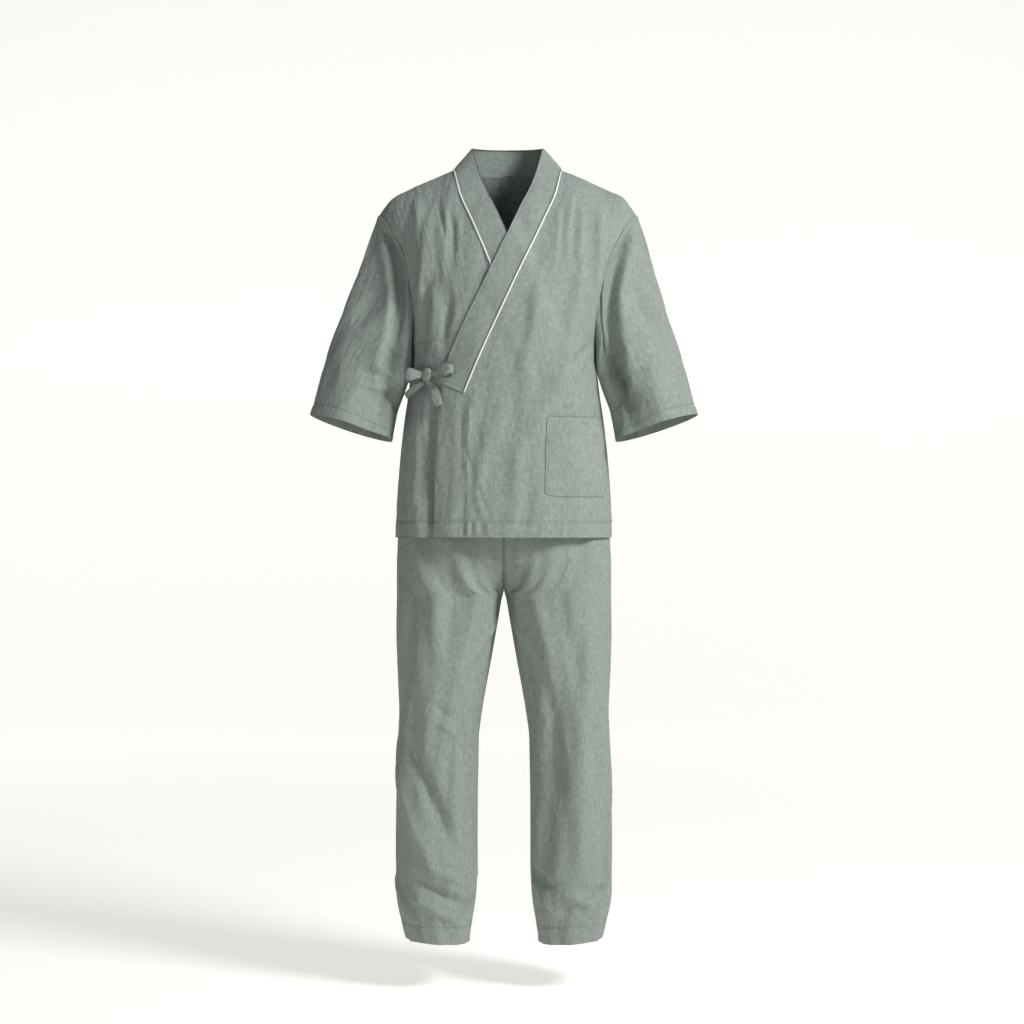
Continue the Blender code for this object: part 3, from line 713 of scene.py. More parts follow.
@dataclass(frozen=True)
class JacketForm:
    """Surface of the worn jacket, shared by its panels, collar, pocket and tie."""

    armpit: float = -0.333
    hem: float = -0.691
    hem_drop: float = 0.004
    rise: float = 0.333
    tip: float = 0.2472
    body_round: float = 2.3
    yoke_round: float = 0.7
    yoke_ease: float = 1.4
    front_turn: float = 2.0
    back_turn: float = 2.5
    lower_share: float = 0.5
    neck_half: float = 0.0995
    neck_back: float = 0.080
    tuck: float = 0.0044
    back_tuck: float = 0.0090
    lean: float = 0.0072
    lean_start: float = -0.33
    lean_span: float = 0.23
    lap_ease: float = 0.028
    lap_margin: float = 0.010
    lap_top: float = -0.085
    # Height, half width, front depth, back depth
    body: Rows = ((-0.7, 0.2045, 0.15, 0.158), (-0.63, 0.2018, 0.147, 0.154),
                  (-0.55, 0.1962, 0.144, 0.146), (-0.475, 0.1878, 0.141, 0.137),
                  (-0.42, 0.1798, 0.138, 0.13), (-0.36, 0.174, 0.136, 0.125),
                  (-0.333, 0.1745, 0.135, 0.124))
    # Distance from the middle, height
    shoulder: Rows = ((0.0, 0.044), (0.099, 0.002), (0.119, -0.006), (0.153, -0.021), (0.187, -0.036),
                      (0.216, -0.051), (0.2365, -0.074), (0.248, -0.093))
    # Share of the rise, front width share, back width share
    armhole: Rows = ((0.0, 1.0, 1.0), (0.05, 0.976, 0.98), (0.2, 0.95, 0.955), (0.33, 0.944, 0.95),
                     (0.54, 0.942, 0.945), (0.71, 0.97, 0.96), (0.9, 0.988, 0.985), (1.0, 1.0, 1.0))
    # Height, distance to the garment's left
    neck_seam: Rows = ((-0.4266, -0.0739), (-0.3628, -0.048), (-0.2696, -0.0069), (-0.1882, 0.027),
                       (-0.1534, 0.0425), (-0.1, 0.0663), (-0.05, 0.088), (0.002, 0.0995))
    front_edge: Rows = ((-0.7, -0.13), (-0.537, -0.1223), (-0.4537, -0.116), (-0.416, -0.1125),
                        (-0.404, -0.11), (-0.31, -0.0303))
    # Seam height, then sideways, outward and upward place of the free edge, and how flat it lies
    collar: Rows = ((-0.4266, -0.1165, 0.0, -0.4063, 1.0), (-0.3628, -0.0925, 0.0, -0.3428, 1.0),
                    (-0.2696, -0.0522, 0.0, -0.25, 1.0), (-0.1882, -0.0165, 0.0, -0.169, 1.0),
                    (-0.1, 0.0215, 0.0, -0.082, 1.0), (-0.05, 0.0455, -0.061, -0.032, 0.4),
                    (-0.02, 0.059, -0.034, 0.012, 0.0), (0.002, 0.065, -0.002, 0.042, 0.0))

    def width(self, share: Array) -> Array:
        """Half width above the armpit for a share of the rise."""
        return self.body[-1][1] + (self.tip - self.body[-1][1]) * np.abs(share) ** self.yoke_ease

    def torso(self, turn: Array, up: Array) -> Array:
        """Superellipse rings that turn over the shoulder as a second superellipse above the armpit.

        Args:
            turn: Angle round the body from the front middle; a right angle is the left side.
            up: Distance above the armpit, negative below it.

        Returns:
            Points of the jacket's surface.
        """
        angle = np.maximum(up, 0.0) / self.rise
        low = self.armpit + np.minimum(up, 0.0)
        facing = -np.sign(np.cos(turn)) * np.sign(np.cos(angle))
        soft = 2 / np.where(facing < 0, self.front_turn, self.back_turn)
        share = np.sin(angle) ** soft
        wide = np.where(up < 0, follow(self.body, 1, low), self.width(share))
        power = self.body_round + self.yoke_round * np.abs(share)
        sine = np.sin(turn)
        edge = np.maximum(1 - np.abs(sine) ** power, 0.0) ** (1 / power)
        front = np.where(up < 0, follow(self.body, 2, low), self.body[-1][2])
        back = np.where(up < 0, follow(self.body, 3, low), self.body[-1][3])
        x = wide * sine
        top = follow(self.shoulder, 1, np.abs(x))
        z = np.where(up < 0, low, self.armpit + share * (top - self.armpit))
        y = facing * np.where(facing < 0, front, back) * edge * np.abs(np.cos(angle)) ** soft
        return point(x, y, z)

    def front_at(self, x: Array | float, z: Array | float) -> Array:
        """Point of the front surface seen at a place from the front.

        The turn is the arcsine of the sideways share of the half width at that height.

        Args:
            x: Distance to the garment's left.
            z: Height.

        Returns:
            Points on the surface.
        """
        x, z = np.broadcast_arrays(np.asarray(x, dtype=float), np.asarray(z, dtype=float))
        top = follow(self.shoulder, 1, np.abs(x))
        share = np.clip((z - self.armpit) / (top - self.armpit), 0.0, 0.9995)
        wide = np.where(z < self.armpit, follow(self.body, 1, z), self.width(share))
        turn = np.arcsin(np.clip(x / wide, -0.9999, 0.9999))
        return self.torso(turn, np.where(z < self.armpit, z - self.armpit, self.rise * np.arcsin(share)))

    def front_normal(self, x: Array | float, z: Array | float) -> Array:
        """Outward direction of the front surface.

        Args:
            x: Distance to the garment's left.
            z: Height.

        Returns:
            Directions of length one.
        """
        small = 0.0005
        across = self.front_at(np.add(x, small), z) - self.front_at(np.subtract(x, small), z)
        upward = self.front_at(x, np.add(z, small)) - self.front_at(x, np.subtract(z, small))
        return unit(np.cross(across, upward))

    def edge_x(self, z: Array) -> Array:
        """Inner edge of the over front: tucked under the collar, then straight down."""
        return np.where(z > self.front_edge[-1][0], follow(self.neck_seam, 1, z) - self.tuck,
                        follow(self.front_edge, 1, z))

    def seam_x(self, z: Array) -> Array:
        """Collar seam on the over front."""
        return follow(self.neck_seam, 1, z)

    def lap_x(self, z: Array) -> Array:
        """Outermost line of the over front and its collar."""
        return np.where(z > self.collar[0][3], follow([(row[3], row[1]) for row in self.collar], 1, z),
                        follow(self.front_edge, 1, z))

    def over_rise(self, x: Array, z: Array) -> Array:
        """How far the over front stands off where it lies on the under front and its collar.

        Args:
            x: Distance to the garment's left.
            z: Height.

        Returns:
            Distance outward.
        """
        reach = self.lap_ease + self.lap_margin
        on_panel = ease((reach - self.lap_x(z) - x) / self.lap_ease)
        start = self.neck_seam[0][0]
        on_band = (ease((x + self.seam_x(z) + reach) / self.lap_ease)
                   * ease((z - start + reach) / self.lap_ease))
        return LAYER * on_panel * (1.1 + 1.45 * on_band) * ease((self.lap_top - z) / self.lap_ease)

    def row_turn(self, up: Array, line: Callable[[Array], Array]) -> Array:
        """Turn at which a line read by height crosses each row, found by repeated substitution.

        Args:
            up: Distance above the armpit, negative below it.
            line: Sideways place of the line at a height.

        Returns:
            Angle round the body.
        """
        share = np.sin(np.clip(up / self.rise, 0.0, HALF))
        x = np.full(up.shape, 0.05)
        for _ in range(30):
            top = follow(self.shoulder, 1, np.abs(x))
            x = line(np.where(up < 0, self.armpit + up, self.armpit + share * (top - self.armpit)))
        wide = np.where(up < 0, follow(self.body, 1, self.armpit + up), self.width(share))
        return np.arcsin(np.clip(x / wide, -1.0, 1.0))

    def panel_up(self, across: Array, v: Array) -> Array:
        """Height of a panel's rows; the hem drops to the middle by a square.

        Args:
            across: Share from the middle, 1 at the sides.
            v: Share from hem to shoulder.

        Returns:
            Distance above the armpit.
        """
        bottom = self.hem - self.armpit - self.hem_drop * (1 - np.clip(np.abs(across), 0, 1) ** 2)
        lower = bottom * (1 - np.clip(v / self.lower_share, None, 1.0))
        upper = self.rise * HALF * (v - self.lower_share) / (1 - self.lower_share)
        return np.where(v < self.lower_share, lower, upper)

    def arm_turn(self, up: Array, column: int) -> Array:
        """Turn at the side seam, and above it at the armhole."""
        share = np.sin(np.clip(up / self.rise, 0.0, HALF))
        return np.arcsin(np.clip(follow(self.armhole, column, share), 0.0, 1.0))

    def front_panel(self, u: Array, v: Array) -> Array:
        """Left front, laid on the torso between two turns.

        Args:
            u: Share from its inner edge to its side.
            v: Share from hem to shoulder.

        Returns:
            Points of the surface.
        """
        up = self.panel_up(0.6 - 0.4 * u, v)
        inner = self.row_turn(up, self.edge_x)
        return self.torso(inner + (self.arm_turn(up, 1) - inner) * u, up)

    def neck_share(self, x: Array, y: Array) -> Array:
        """Share of the rise at which the back surface reaches a place beside the neck.

        Args:
            x: Distance to the garment's left.
            y: Distance to the garment's back.

        Returns:
            Share from 0 at the armpit's height to 1 at the shoulder seam.
        """
        power = self.body_round + self.yoke_round
        edge = np.maximum(1 - np.abs(x / self.tip) ** power, 1e-6) ** (1 / power)
        turned = np.clip(y / (self.body[-1][3] * edge), 0.0, 0.97)
        return (1 - turned ** self.back_turn) ** (1 / self.back_turn)

    def back_panel(self, u: Array, v: Array) -> Array:
        """Back, laid on the torso; its rows stop short of the shoulder at the neck.

        Args:
            u: Share from the garment's left to its right.
            v: Share from hem to shoulder.

        Returns:
            Points of the surface.
        """
        side = 2 * u - 1
        up = self.panel_up(side, v)
        reach = self.arm_turn(up, 2)
        x = self.tip * np.abs(np.sin(np.clip(np.abs(side), 0, 1) * HALF))
        inside = np.clip(x / (self.neck_half - self.tuck), 0.0, 1.0)
        share = self.neck_share(x, (self.neck_back - self.back_tuck) * np.sqrt(1 - inside ** 2))
        stop = np.arcsin(share ** (self.back_turn / 2)) / HALF
        climb = ease((np.clip(v, 0, 1) - self.lower_share) / (1 - self.lower_share))
        up = np.where(v > self.lower_share, up * (1 - (1 - stop) * climb), up)
        return self.torso(math.pi - side * reach, up)

    def sway(self, place: Array) -> Array:
        """Upper jacket moved a little to its left.

        Args:
            place: Points to move.

        Returns:
            The moved points.
        """
        moved = place.copy()
        moved[..., 0] += self.lean * ease((place[..., 2] - self.lean_start) / self.lean_span)
        return moved


@dataclass
class JacketBody:
    """Back and the two wrapped fronts of the jacket."""

    form: JacketForm
    crinkle: Crinkle = Crinkle(0.012, 0.070, 0.00045, 11)
    drape: Crinkle = Crinkle(0.055, 0.220, 0.0017, 12)
    pucker: Crinkle = Crinkle(0.009, 0.030, 0.00050, 13)
    # Sideways place and height of both ends, rise, half width, in millimetres
    over_creases: Creases = Creases((
        (-73, -431, -75, -580, -1.4, 2.2), (-64, -438, -54, -480, -2.6, 3.6),
        (-55, -476, -40, -537, -3, 4), (-69, -532, -57, -577, -2.6, 3.6),
        (-48, -590, -30, -648, -2.8, 3.8), (-60, -432, -66, -600, 3.6, 8), (-85, -445, -92, -680, 3, 10),
        (-28, -480, -46, -690, 5.8, 15), (-58, -560, -44, -690, -3, 7), (-74, -664, -73, -693, -3, 2.6),
        (-66, -662, -64, -693, 3.4, 3.2), (-58, -664, -57, -693, -3.2, 2.8),
        (-49, -660, -48, -693, 3, 3.4), (-40, -664, -39, -693, -3, 3), (-28, -662, -27, -693, 2.4, 3.6),
        (60, -663, 62, -693, -2.2, 3), (110, -662, 108, -693, 2.2, 3.6), (20, -500, 12, -690, 5, 19),
        (62, -520, 54, -690, 3.8, 14), (40, -560, 34, -680, -2, 8), (152, -210, 104, -440, 6.2, 15),
        (170, -60, 160, -320, 8.5, 10), (141, -75, 134, -260, 4.2, 10), (150, -70, 147, -200, -3.4, 6),
        (118, -50, 110, -215, 3.4, 9), (129, -60, 122, -185, -3, 6), (92, -70, 86, -200, 2.6, 8),
        (104, -90, 98, -180, -2.2, 5), (170, -300, 112, -365, 4.4, 9), (168, -335, 96, -440, 3.6, 11),
        (160, -330, 120, -380, -3, 6), (174, -370, 118, -510, 3, 13), (62, -230, 18, -420, 4.6, 17),
        (48, -250, 6, -420, -2.4, 9), (100, -380, 45, -520, 4.2, 16), (76, -160, 48, -300, 2.2, 9)), MILLI)
    under_creases: Creases = Creases((
        (-150, -415, -156, -740, 9, 13), (-131, -405, -128, -740, -12.5, 9.5),
        (-172, -410, -181, -740, -10.5, 9), (-188, -430, -195, -700, 3, 6),
        (-158, -460, -164, -650, 2.6, 5), (-142, -420, -140, -540, 3, 5),
        (-132, -225, -139, -385, 7.5, 10), (-103, -235, -110, -375, -6.5, 9),
        (-156, -240, -149, -385, -6, 9), (-150, -210, -142, -272, -3.6, 5.5),
        (-118, -250, -124, -380, 3.6, 5.5), (-88, -270, -112, -372, 3.4, 7),
        (-126, -80, -118, -150, -4.2, 5.5), (-162, -90, -156, -165, -4, 5.5),
        (-171, -60, -160, -330, 9, 9.5), (-143, -70, -138, -220, 4.6, 9.5),
        (-115, -50, -112, -230, 3.6, 8), (-98, -60, -92, -190, 2.6, 7), (-106, -90, -102, -170, -2.6, 4.5),
        (-172, -310, -130, -385, 3.4, 8)), MILLI)
    back_creases: Creases = Creases((
        (132, -140, 105, -430, 6, 16), (-126, -155, -100, -440, 5.8, 16), (60, -330, 85, -690, 4.6, 18),
        (-50, -360, -72, -690, 5, 17), (5, -420, -12, -690, 4, 16), (160, -320, 120, -480, 3.4, 12),
        (-162, -300, -118, -470, 3.6, 12), (150, -400, 148, -690, 3.6, 15),
        (-146, -420, -140, -690, 3.4, 14), (98, -60, 90, -240, 2.4, 11), (-94, -70, -88, -260, 2.6, 11),
        (40, -380, 30, -560, -2.4, 12), (-28, -400, -36, -600, -2.4, 12), (90, -470, 30, -520, 2.4, 13),
        (-85, -460, -20, -510, 2.4, 13)), MILLI)
    facing_share: float = 0.142
    armhole_row: float = 0.020
    front_width: float = 0.30
    back_width: float = 0.58
    back_depth: float = 1.35
    back_shift: float = 0.7
    tie_level: float = -0.425
    panels: dict[str, Panel] = field(default_factory=dict)

    def fabric(self, x: Array, z: Array) -> Array:
        """Drape and crinkle that all layers of the front share."""
        return self.drape.height(x, z) + self.crinkle.height(x, z)

    def seams_calm(self, side: Array, v: Array) -> Array:
        """Share of the relief left beside the side seam and the shoulder seam."""
        return ease(side / 0.05) * ease((1 - v) / 0.05)

    def hem_relief(self, x: Array, up: Array) -> Array:
        """Folded hem: thicker below its stitch row, puckered beside it, rolled at its edge.

        Args:
            x: Distance to the garment's left.
            up: Distance above the armpit, negative below it.

        Returns:
            Distance to move each point outward.
        """
        height = up - (self.form.hem - self.form.armpit)
        ripple = self.pucker.height(x, height) * bell(height - HEM_BAND, 0.014)
        return folded_hem(height - HEM_BAND) + ripple - GROOVE * bell(height, 0.0016)

    def below_tie(self, z: Array) -> Array:
        """Share of the facing's stitch row, which starts below the tie."""
        return ease((self.tie_level - z) / 0.01)

    def seam_dip(self, away: Array) -> Array:
        """Cloth drawn in beside a seam at a distance in metres."""
        return -0.0002 * bell(away, 0.0024) - 0.0005 * bell(away, 0.010)

    def over_lift(self, u: Array, v: Array, base: Array) -> Array:
        """Lift of the left front: its rise over the under front, creases, crinkle, hem and seams.

        Args:
            u: Share from the inner edge to the side.
            v: Share from hem to shoulder.
            base: Points of the surface.

        Returns:
            Distance to move each point outward.
        """
        x, z = base[..., 0], base[..., 2]
        calm = ease((1 - u) / 0.10)
        creases = self.over_creases.height(x, z) * calm
        lap = ease((self.form.lap_margin - self.form.lap_x(z) - x) / self.form.lap_ease)
        creases = np.where(creases < 0, creases * (1 - lap), creases)
        inward = u * self.front_width
        turned = 0.0011 * ease((0.030 - inward) / 0.004) * ease((self.form.front_edge[-2][0] - z) / 0.03)
        facing = bell((u - self.facing_share) * self.front_width, 0.0018) * self.below_tie(z)
        edge = turned - 0.0007 * bell(inward, 0.0014) - 0.0006 * facing
        return (self.form.over_rise(x, z) + creases + self.fabric(x, z) * self.seams_calm(1 - u, v)
                + self.hem_relief(x, z - self.form.armpit)
                + self.seam_dip((1 - u) * self.front_width) + edge)

    def under_lift(self, u: Array, v: Array, base: Array) -> Array:
        """Lift of the right front, whose creases stop where the over front covers it.

        Args:
            u: Share from the inner edge to the side.
            v: Share from hem to shoulder.
            base: Points of the surface.

        Returns:
            Distance to move each point outward.
        """
        x, z = -base[..., 0], base[..., 2]
        open_share = ease((self.form.lap_x(z) - 0.004 - x) / 0.016)
        creases = self.under_creases.height(x, z)
        creases = np.where(creases > 0, creases * open_share, creases) * ease((1 - u) / 0.10)
        return (creases + self.fabric(x, z) * self.seams_calm(1 - u, v)
                + self.hem_relief(x, z - self.form.armpit) + self.seam_dip((1 - u) * self.front_width))

    def back_lift(self, u: Array, v: Array, base: Array) -> Array:
        """Lift of the back: creases and crinkle, hem and seams.

        Args:
            u: Share across.
            v: Share along.
            base: Points of the surface.

        Returns:
            Distance to move each point outward.
        """
        x, z = base[..., 0], base[..., 2]
        calm = self.seams_calm(np.minimum(u, 1 - u), v)
        relief = self.back_depth * self.back_creases.height(x, z) + self.fabric(x + self.back_shift, z)
        return (relief * calm + self.hem_relief(x, z - self.form.armpit)
                + self.seam_dip(u * self.back_width) + self.seam_dip((1 - u) * self.back_width))

    def girth(self, place: Array) -> Array:
        """Arc round the body from its middle: a radius times the arcsine of the share of the width."""
        return 0.2 * np.arcsin(np.clip(place[..., 0] / 0.25, -1, 1))

    def front_chart(self, u: Array, v: Array, place: Array) -> Array:
        """Flat cloth of a front: the arc round the body across, and height plus depth along."""
        return np.stack([self.girth(place), place[..., 2] + place[..., 1]], axis=-1)

    def back_chart(self, u: Array, v: Array, place: Array) -> Array:
        """Flat cloth of the back, whose depth shrinks as its height grows over the shoulder."""
        return np.stack([self.girth(place) + 1.0, place[..., 2] - place[..., 1]], axis=-1)

    def tone(self, u: Array, v: Array, place: Array) -> Array:
        """Painted shade drawn along the stitch rows of the hem and beside the armhole.

        Args:
            u: Share across.
            v: Share along.
            place: Points of the surface.

        Returns:
            Share of colour left by the painted shade at each point, 1 where the cloth has its own colour.
        """
        height = place[..., 2] - self.form.hem
        armhole = ease((place[..., 2] - self.form.armpit) / 0.02)
        away = (1 - u - self.armhole_row) * self.front_width
        return 1 - 0.16 * bell(height - HEM_BAND, ROW_HALF) - 0.11 * armhole * bell(away, 0.0016)

    def over_tone(self, u: Array, v: Array, place: Array) -> Array:
        """Painted shade along the hem's stitch row and the facing's stitch row.

        Args:
            u: Share across.
            v: Share along.
            place: Points of the surface.

        Returns:
            Share of colour left by the painted shade at each point, 1 where the cloth has its own colour.
        """
        away = (u - self.facing_share) * self.front_width
        row = bell(away, 0.0017) * self.below_tie(place[..., 2])
        return self.tone(u, v, place) * (1 - 0.24 * row)

    def build(self, linen: Finish, stitches: Stitching) -> None:
        """Builds the three panels and the stitches of the hem and of the over front's edge.

        Args:
            linen: Finish of the cloth.
            stitches: Rows that take this jacket's stitches.
        """
        form = self.form
        gap = np.array([0.0, SEAM / 2, 0.0])
        hem_share = HEM_BAND / (form.armpit - form.hem) * form.lower_share
        along = spaced(150, (hem_share,), 0.0012)
        self.panels["over"] = Panel(
            "jacket_front_left", form.front_panel, self.over_lift, self.front_chart,
            spaced(128, (self.facing_share, 1 - self.armhole_row), 0.004), along,
            (0.47, 0.76), 0.225, ["jacket_front_right", "jacket_back"],
            sway=form.sway, shade=self.over_tone, keep=lambda p: p - gap)
        self.panels["under"] = Panel(
            "jacket_front_right", form.front_panel, self.under_lift, self.front_chart,
            spaced(128, (1 - self.armhole_row,), 0.004), along,
            (0.47, 0.76), 0.225, ["jacket_back"], other_side=True,
            sway=form.sway, shade=self.tone, keep=lambda p: p - gap)
        self.panels["back"] = Panel(
            "jacket_back", form.back_panel, self.back_lift, self.back_chart,
            spaced(180, (), 0.0025), along,
            (0.62, 0.76), 0.375, ["trouser_back_left", "trouser_back_right"],
            sway=form.sway, keep=lambda p: p + gap)
        run = np.linspace(0.004, 0.996, 160)
        for panel in self.panels.values():
            panel.build(linen)
            stitches.add(*panel.line(run, np.full(run.shape, hem_share)))
        up = np.linspace(self.form.lower_share + 0.02, 0.975, 140)
        for panel in (self.panels["over"], self.panels["under"]):
            stitches.add(*panel.line(np.full(up.shape, 1 - self.armhole_row), up))
        down = np.linspace(0.006, 0.36, 160)
        for share in (0.014, self.facing_share):
            stitches.add(*self.panels["over"].line(np.full(down.shape, share), down))


@dataclass
class Sleeves:
    """Two wide three-quarter sleeves, each one piece closed under the arm."""

    form: JacketForm
    cuff_x: float = 0.2880
    cuff_y: float = -0.030
    cuff_z: float = -0.4885
    half_width: float = 0.0765
    slant: float = 0.0245
    half_depth: float = 0.069
    droop: float = 0.007
    underarm_step: float = 0.0030
    underarm_share: float = 0.05
    lap: float = 0.985
    lap_share: float = 0.012
    lap_lift: float = 0.0014
    body_gap: float = 0.0036
    body_reach: float = 0.0015
    cuff_row: float = 0.0195
    around: float = 0.47
    reach: float = 0.385
    crinkle: Crinkle = Crinkle(0.012, 0.065, 0.00050, 21)
    drape: Crinkle = Crinkle(0.065, 0.180, 0.0026, 22)
    pucker: Crinkle = Crinkle(0.009, 0.030, 0.00045, 23)
    # Share round from the underarm over the front, share along, of both ends, rise, half width
    creases: Creases = Creases((
        (0.43, 0.03, 0.15, 0.8, 0.012, 0.032), (0.35, 0.04, 0.07, 0.78, -0.0175, 0.042),
        (0.29, 0.02, 0.19, 0.24, 0.005, 0.016), (0.33, 0.02, 0.26, 0.2, -0.004, 0.012),
        (0.24, 0.02, 0.15, 0.22, -0.004, 0.012), (0.06, 0.5, 0.085, 1.05, 0.006, 0.026),
        (0.14, 0.46, 0.17, 1.05, -0.009, 0.036), (0.3, 0.3, 0.29, 1.05, 0.005, 0.044),
        (0.37, 0.3, 0.39, 0.95, -0.0046, 0.036), (0.45, 0.2, 0.46, 0.95, 0.0046, 0.036),
        (0.09, 0.6, 0.23, 0.68, 0.0044, 0.013), (0.09, 0.66, 0.25, 0.73, -0.004, 0.011),
        (0.12, 0.72, 0.26, 0.8, 0.0038, 0.013), (0.11, 0.5, 0.23, 0.57, -0.0036, 0.012),
        (0.08, 0.82, 0.17, 0.9, 0.0032, 0.012), (0.33, 0.56, 0.45, 0.62, 0.003, 0.012),
        (0.7, 0.05, 0.88, 0.7, -0.008, 0.046), (0.62, 0.1, 0.7, 0.95, 0.008, 0.046),
        (0.56, 0.05, 0.57, 0.8, 0.0044, 0.036), (0.8, 0.3, 0.93, 0.9, 0.006, 0.036),
        (0.66, 0.55, 0.82, 0.66, 0.0044, 0.016), (0.76, 0.7, 0.9, 0.8, -0.004, 0.014)))
    left_creases: Creases = Creases((
        (0.105, 0.12, 0.085, 1.02, -0.017, 0.062), (0.29, 0.28, 0.27, 1.0, 0.005, 0.05)))
    right_creases: Creases = Creases((
        (0.12, 0.42, 0.22, 0.9, -0.004, 0.034), (0.39, 0.5, 0.3, 0.98, 0.004, 0.04)))

    def ring(self, u: Array, inward: Array) -> Array:
        """Armhole line, lapped a little over the body's edge.

        Args:
            u: Share round, from the underarm up the front, over the shoulder and down the back.
            inward: Share of the armhole's width, 1 on its line.

        Returns:
            Points just outside the body's surface.
        """
        form = self.form
        u = np.mod(u, 1.0)
        front = u < 0.5
        angle = math.pi * np.where(front, u, 1 - u)
        share = np.sin(angle)
        turn = np.where(front, np.arcsin(follow(form.armhole, 1, share) * inward),
                        math.pi - np.arcsin(follow(form.armhole, 2, share) * inward))
        up = np.clip(form.rise * angle, 0.002, form.rise * HALF - 0.002)
        small = 0.0005
        outward = unit(np.cross(form.torso(turn + small, up) - form.torso(turn - small, up),
                                form.torso(turn, up + small) - form.torso(turn, up - small)))
        return form.torso(turn, form.rise * angle) + outward * self.lap_lift

    def body_x(self, y: Array, z: Array) -> tuple[Array, Array]:
        """Half width of the body at a depth and height: a superellipse.

        Args:
            y: Distance to the garment's back.
            z: Height.

        Returns:
            The half width there, and the greatest half width at that height.
        """
        form = self.form
        low = np.minimum(z, form.armpit)
        wide = follow(form.body, 1, low)
        depth = np.where(y < 0, follow(form.body, 2, low), follow(form.body, 3, low))
        share = np.clip(np.abs(y) / depth, 0, 0.999)
        return wide * (1 - share ** form.body_round) ** (1 / form.body_round), wide

    def surface(self, u: Array, v: Array) -> Array:
        """Straight lines from armhole to cuff, laid against the body's side where they pass it.

        Args:
            u: Share round, from the underarm up the front.
            v: Share from armhole to cuff.

        Returns:
            Points of the surface.
        """
        on_body = np.clip(v / self.lap_share, 0, 1)
        start = self.ring(u, self.lap + (1 - self.lap) * on_body)
        wrapped = np.mod(u, 1.0)
        near = np.minimum(wrapped, 1 - wrapped) / self.underarm_share
        start[..., 0] += self.underarm_step * np.exp(-near ** 2) * on_body
        v = np.clip((v - self.lap_share) / (1 - self.lap_share), 0, None)
        angle = math.pi + 2 * math.pi * u
        out, back = np.cos(angle), np.sin(angle)
        end = point(self.cuff_x + self.half_width * out, self.cuff_y + self.half_depth * back,
                    self.cuff_z + self.slant * out - self.droop * back)
        place = start + (end - start) * v[..., None]
        inner = 0.5 + 0.5 * np.cos(2 * math.pi * u)
        beside, wide = self.body_x(place[..., 1], place[..., 2])
        aim = np.maximum(beside + self.body_gap, wide - self.body_reach)
        hug = inner ** 0.7 * ease(v / 0.10) * ease((0.74 - v) / 0.45)
        place[..., 0] += hug * (np.minimum(place[..., 0], aim) - place[..., 0])
        return place

    def chart(self, u: Array, v: Array, place: Array) -> Array:
        """Flat cloth of the sleeve: share round and share along, in metres."""
        return np.stack([u * self.around, v * self.reach + 2.0], axis=-1)

    def lift(self, u: Array, v: Array, base: Array, other: bool) -> Array:
        """Creases, drape and crinkle, calm at the armhole and along the body, and the cuff's hem.

        Args:
            u: Share round, from the underarm up the front.
            v: Share from armhole to cuff.
            base: Points of the surface.
            other: Whether it is on the garment's right.

        Returns:
            Distance to move each point outward.
        """
        own = self.right_creases if other else self.left_creases
        wrapped = np.mod(u, 1.0)
        across, along = wrapped * self.around, v * self.reach
        calm = ease(v / 0.10)
        beside = np.minimum(wrapped, 1 - wrapped)
        height = (1 - v) * self.reach
        from_row = height - self.cuff_row
        ripple = self.pucker.height(across, height) * bell(from_row, 0.012)
        seam = -0.0006 * bell(along - 0.009, 0.004)
        join = ease(wrapped / 0.06) * ease((1 - wrapped) / 0.06)
        folds = self.creases.height(wrapped, v) + own.height(wrapped, v)
        folds = folds + self.drape.height(across, along) * join
        near = ease(beside / np.where(folds < 0, 0.04, 0.09))
        return (folds * calm * (0.25 + 0.75 * near)
                + (self.crinkle.height(across, along) + ripple) * join + folded_hem(from_row) + seam)

    def tone(self, u: Array, v: Array, place: Array) -> Array:
        """Painted shade along the cuff's stitch row and the armhole seam."""
        row = bell((1 - v) * self.reach - self.cuff_row, ROW_HALF)
        return 1 - 0.16 * row - 0.12 * bell(v * self.reach, 0.0022)

    def build(self, linen: Finish, stitches: Stitching) -> None:
        """Builds both sleeves and their cuff stitches.

        Args:
            linen: Finish of the cloth.
            stitches: Rows that take the cuff stitches.
        """
        around = np.linspace(0, 1, 171)[:-1]
        row = 1 - self.cuff_row / self.reach
        along = spaced(100, (row,), 0.0020)
        for name, other in (("sleeve_left", False), ("sleeve_right", True)):
            panel = Panel(name, self.surface, partial(self.lift, other=other), self.chart, around, along,
                          (0.52, 0.40), 0.162, ["jacket_back"], sign=-1.0, ring=True,
                          other_side=other, sway=self.form.sway, shade=self.tone)
            panel.build(linen)
            run = np.linspace(0.0, 1.0, 150)
            stitches.add(*panel.line(run, np.full(run.shape, row)))


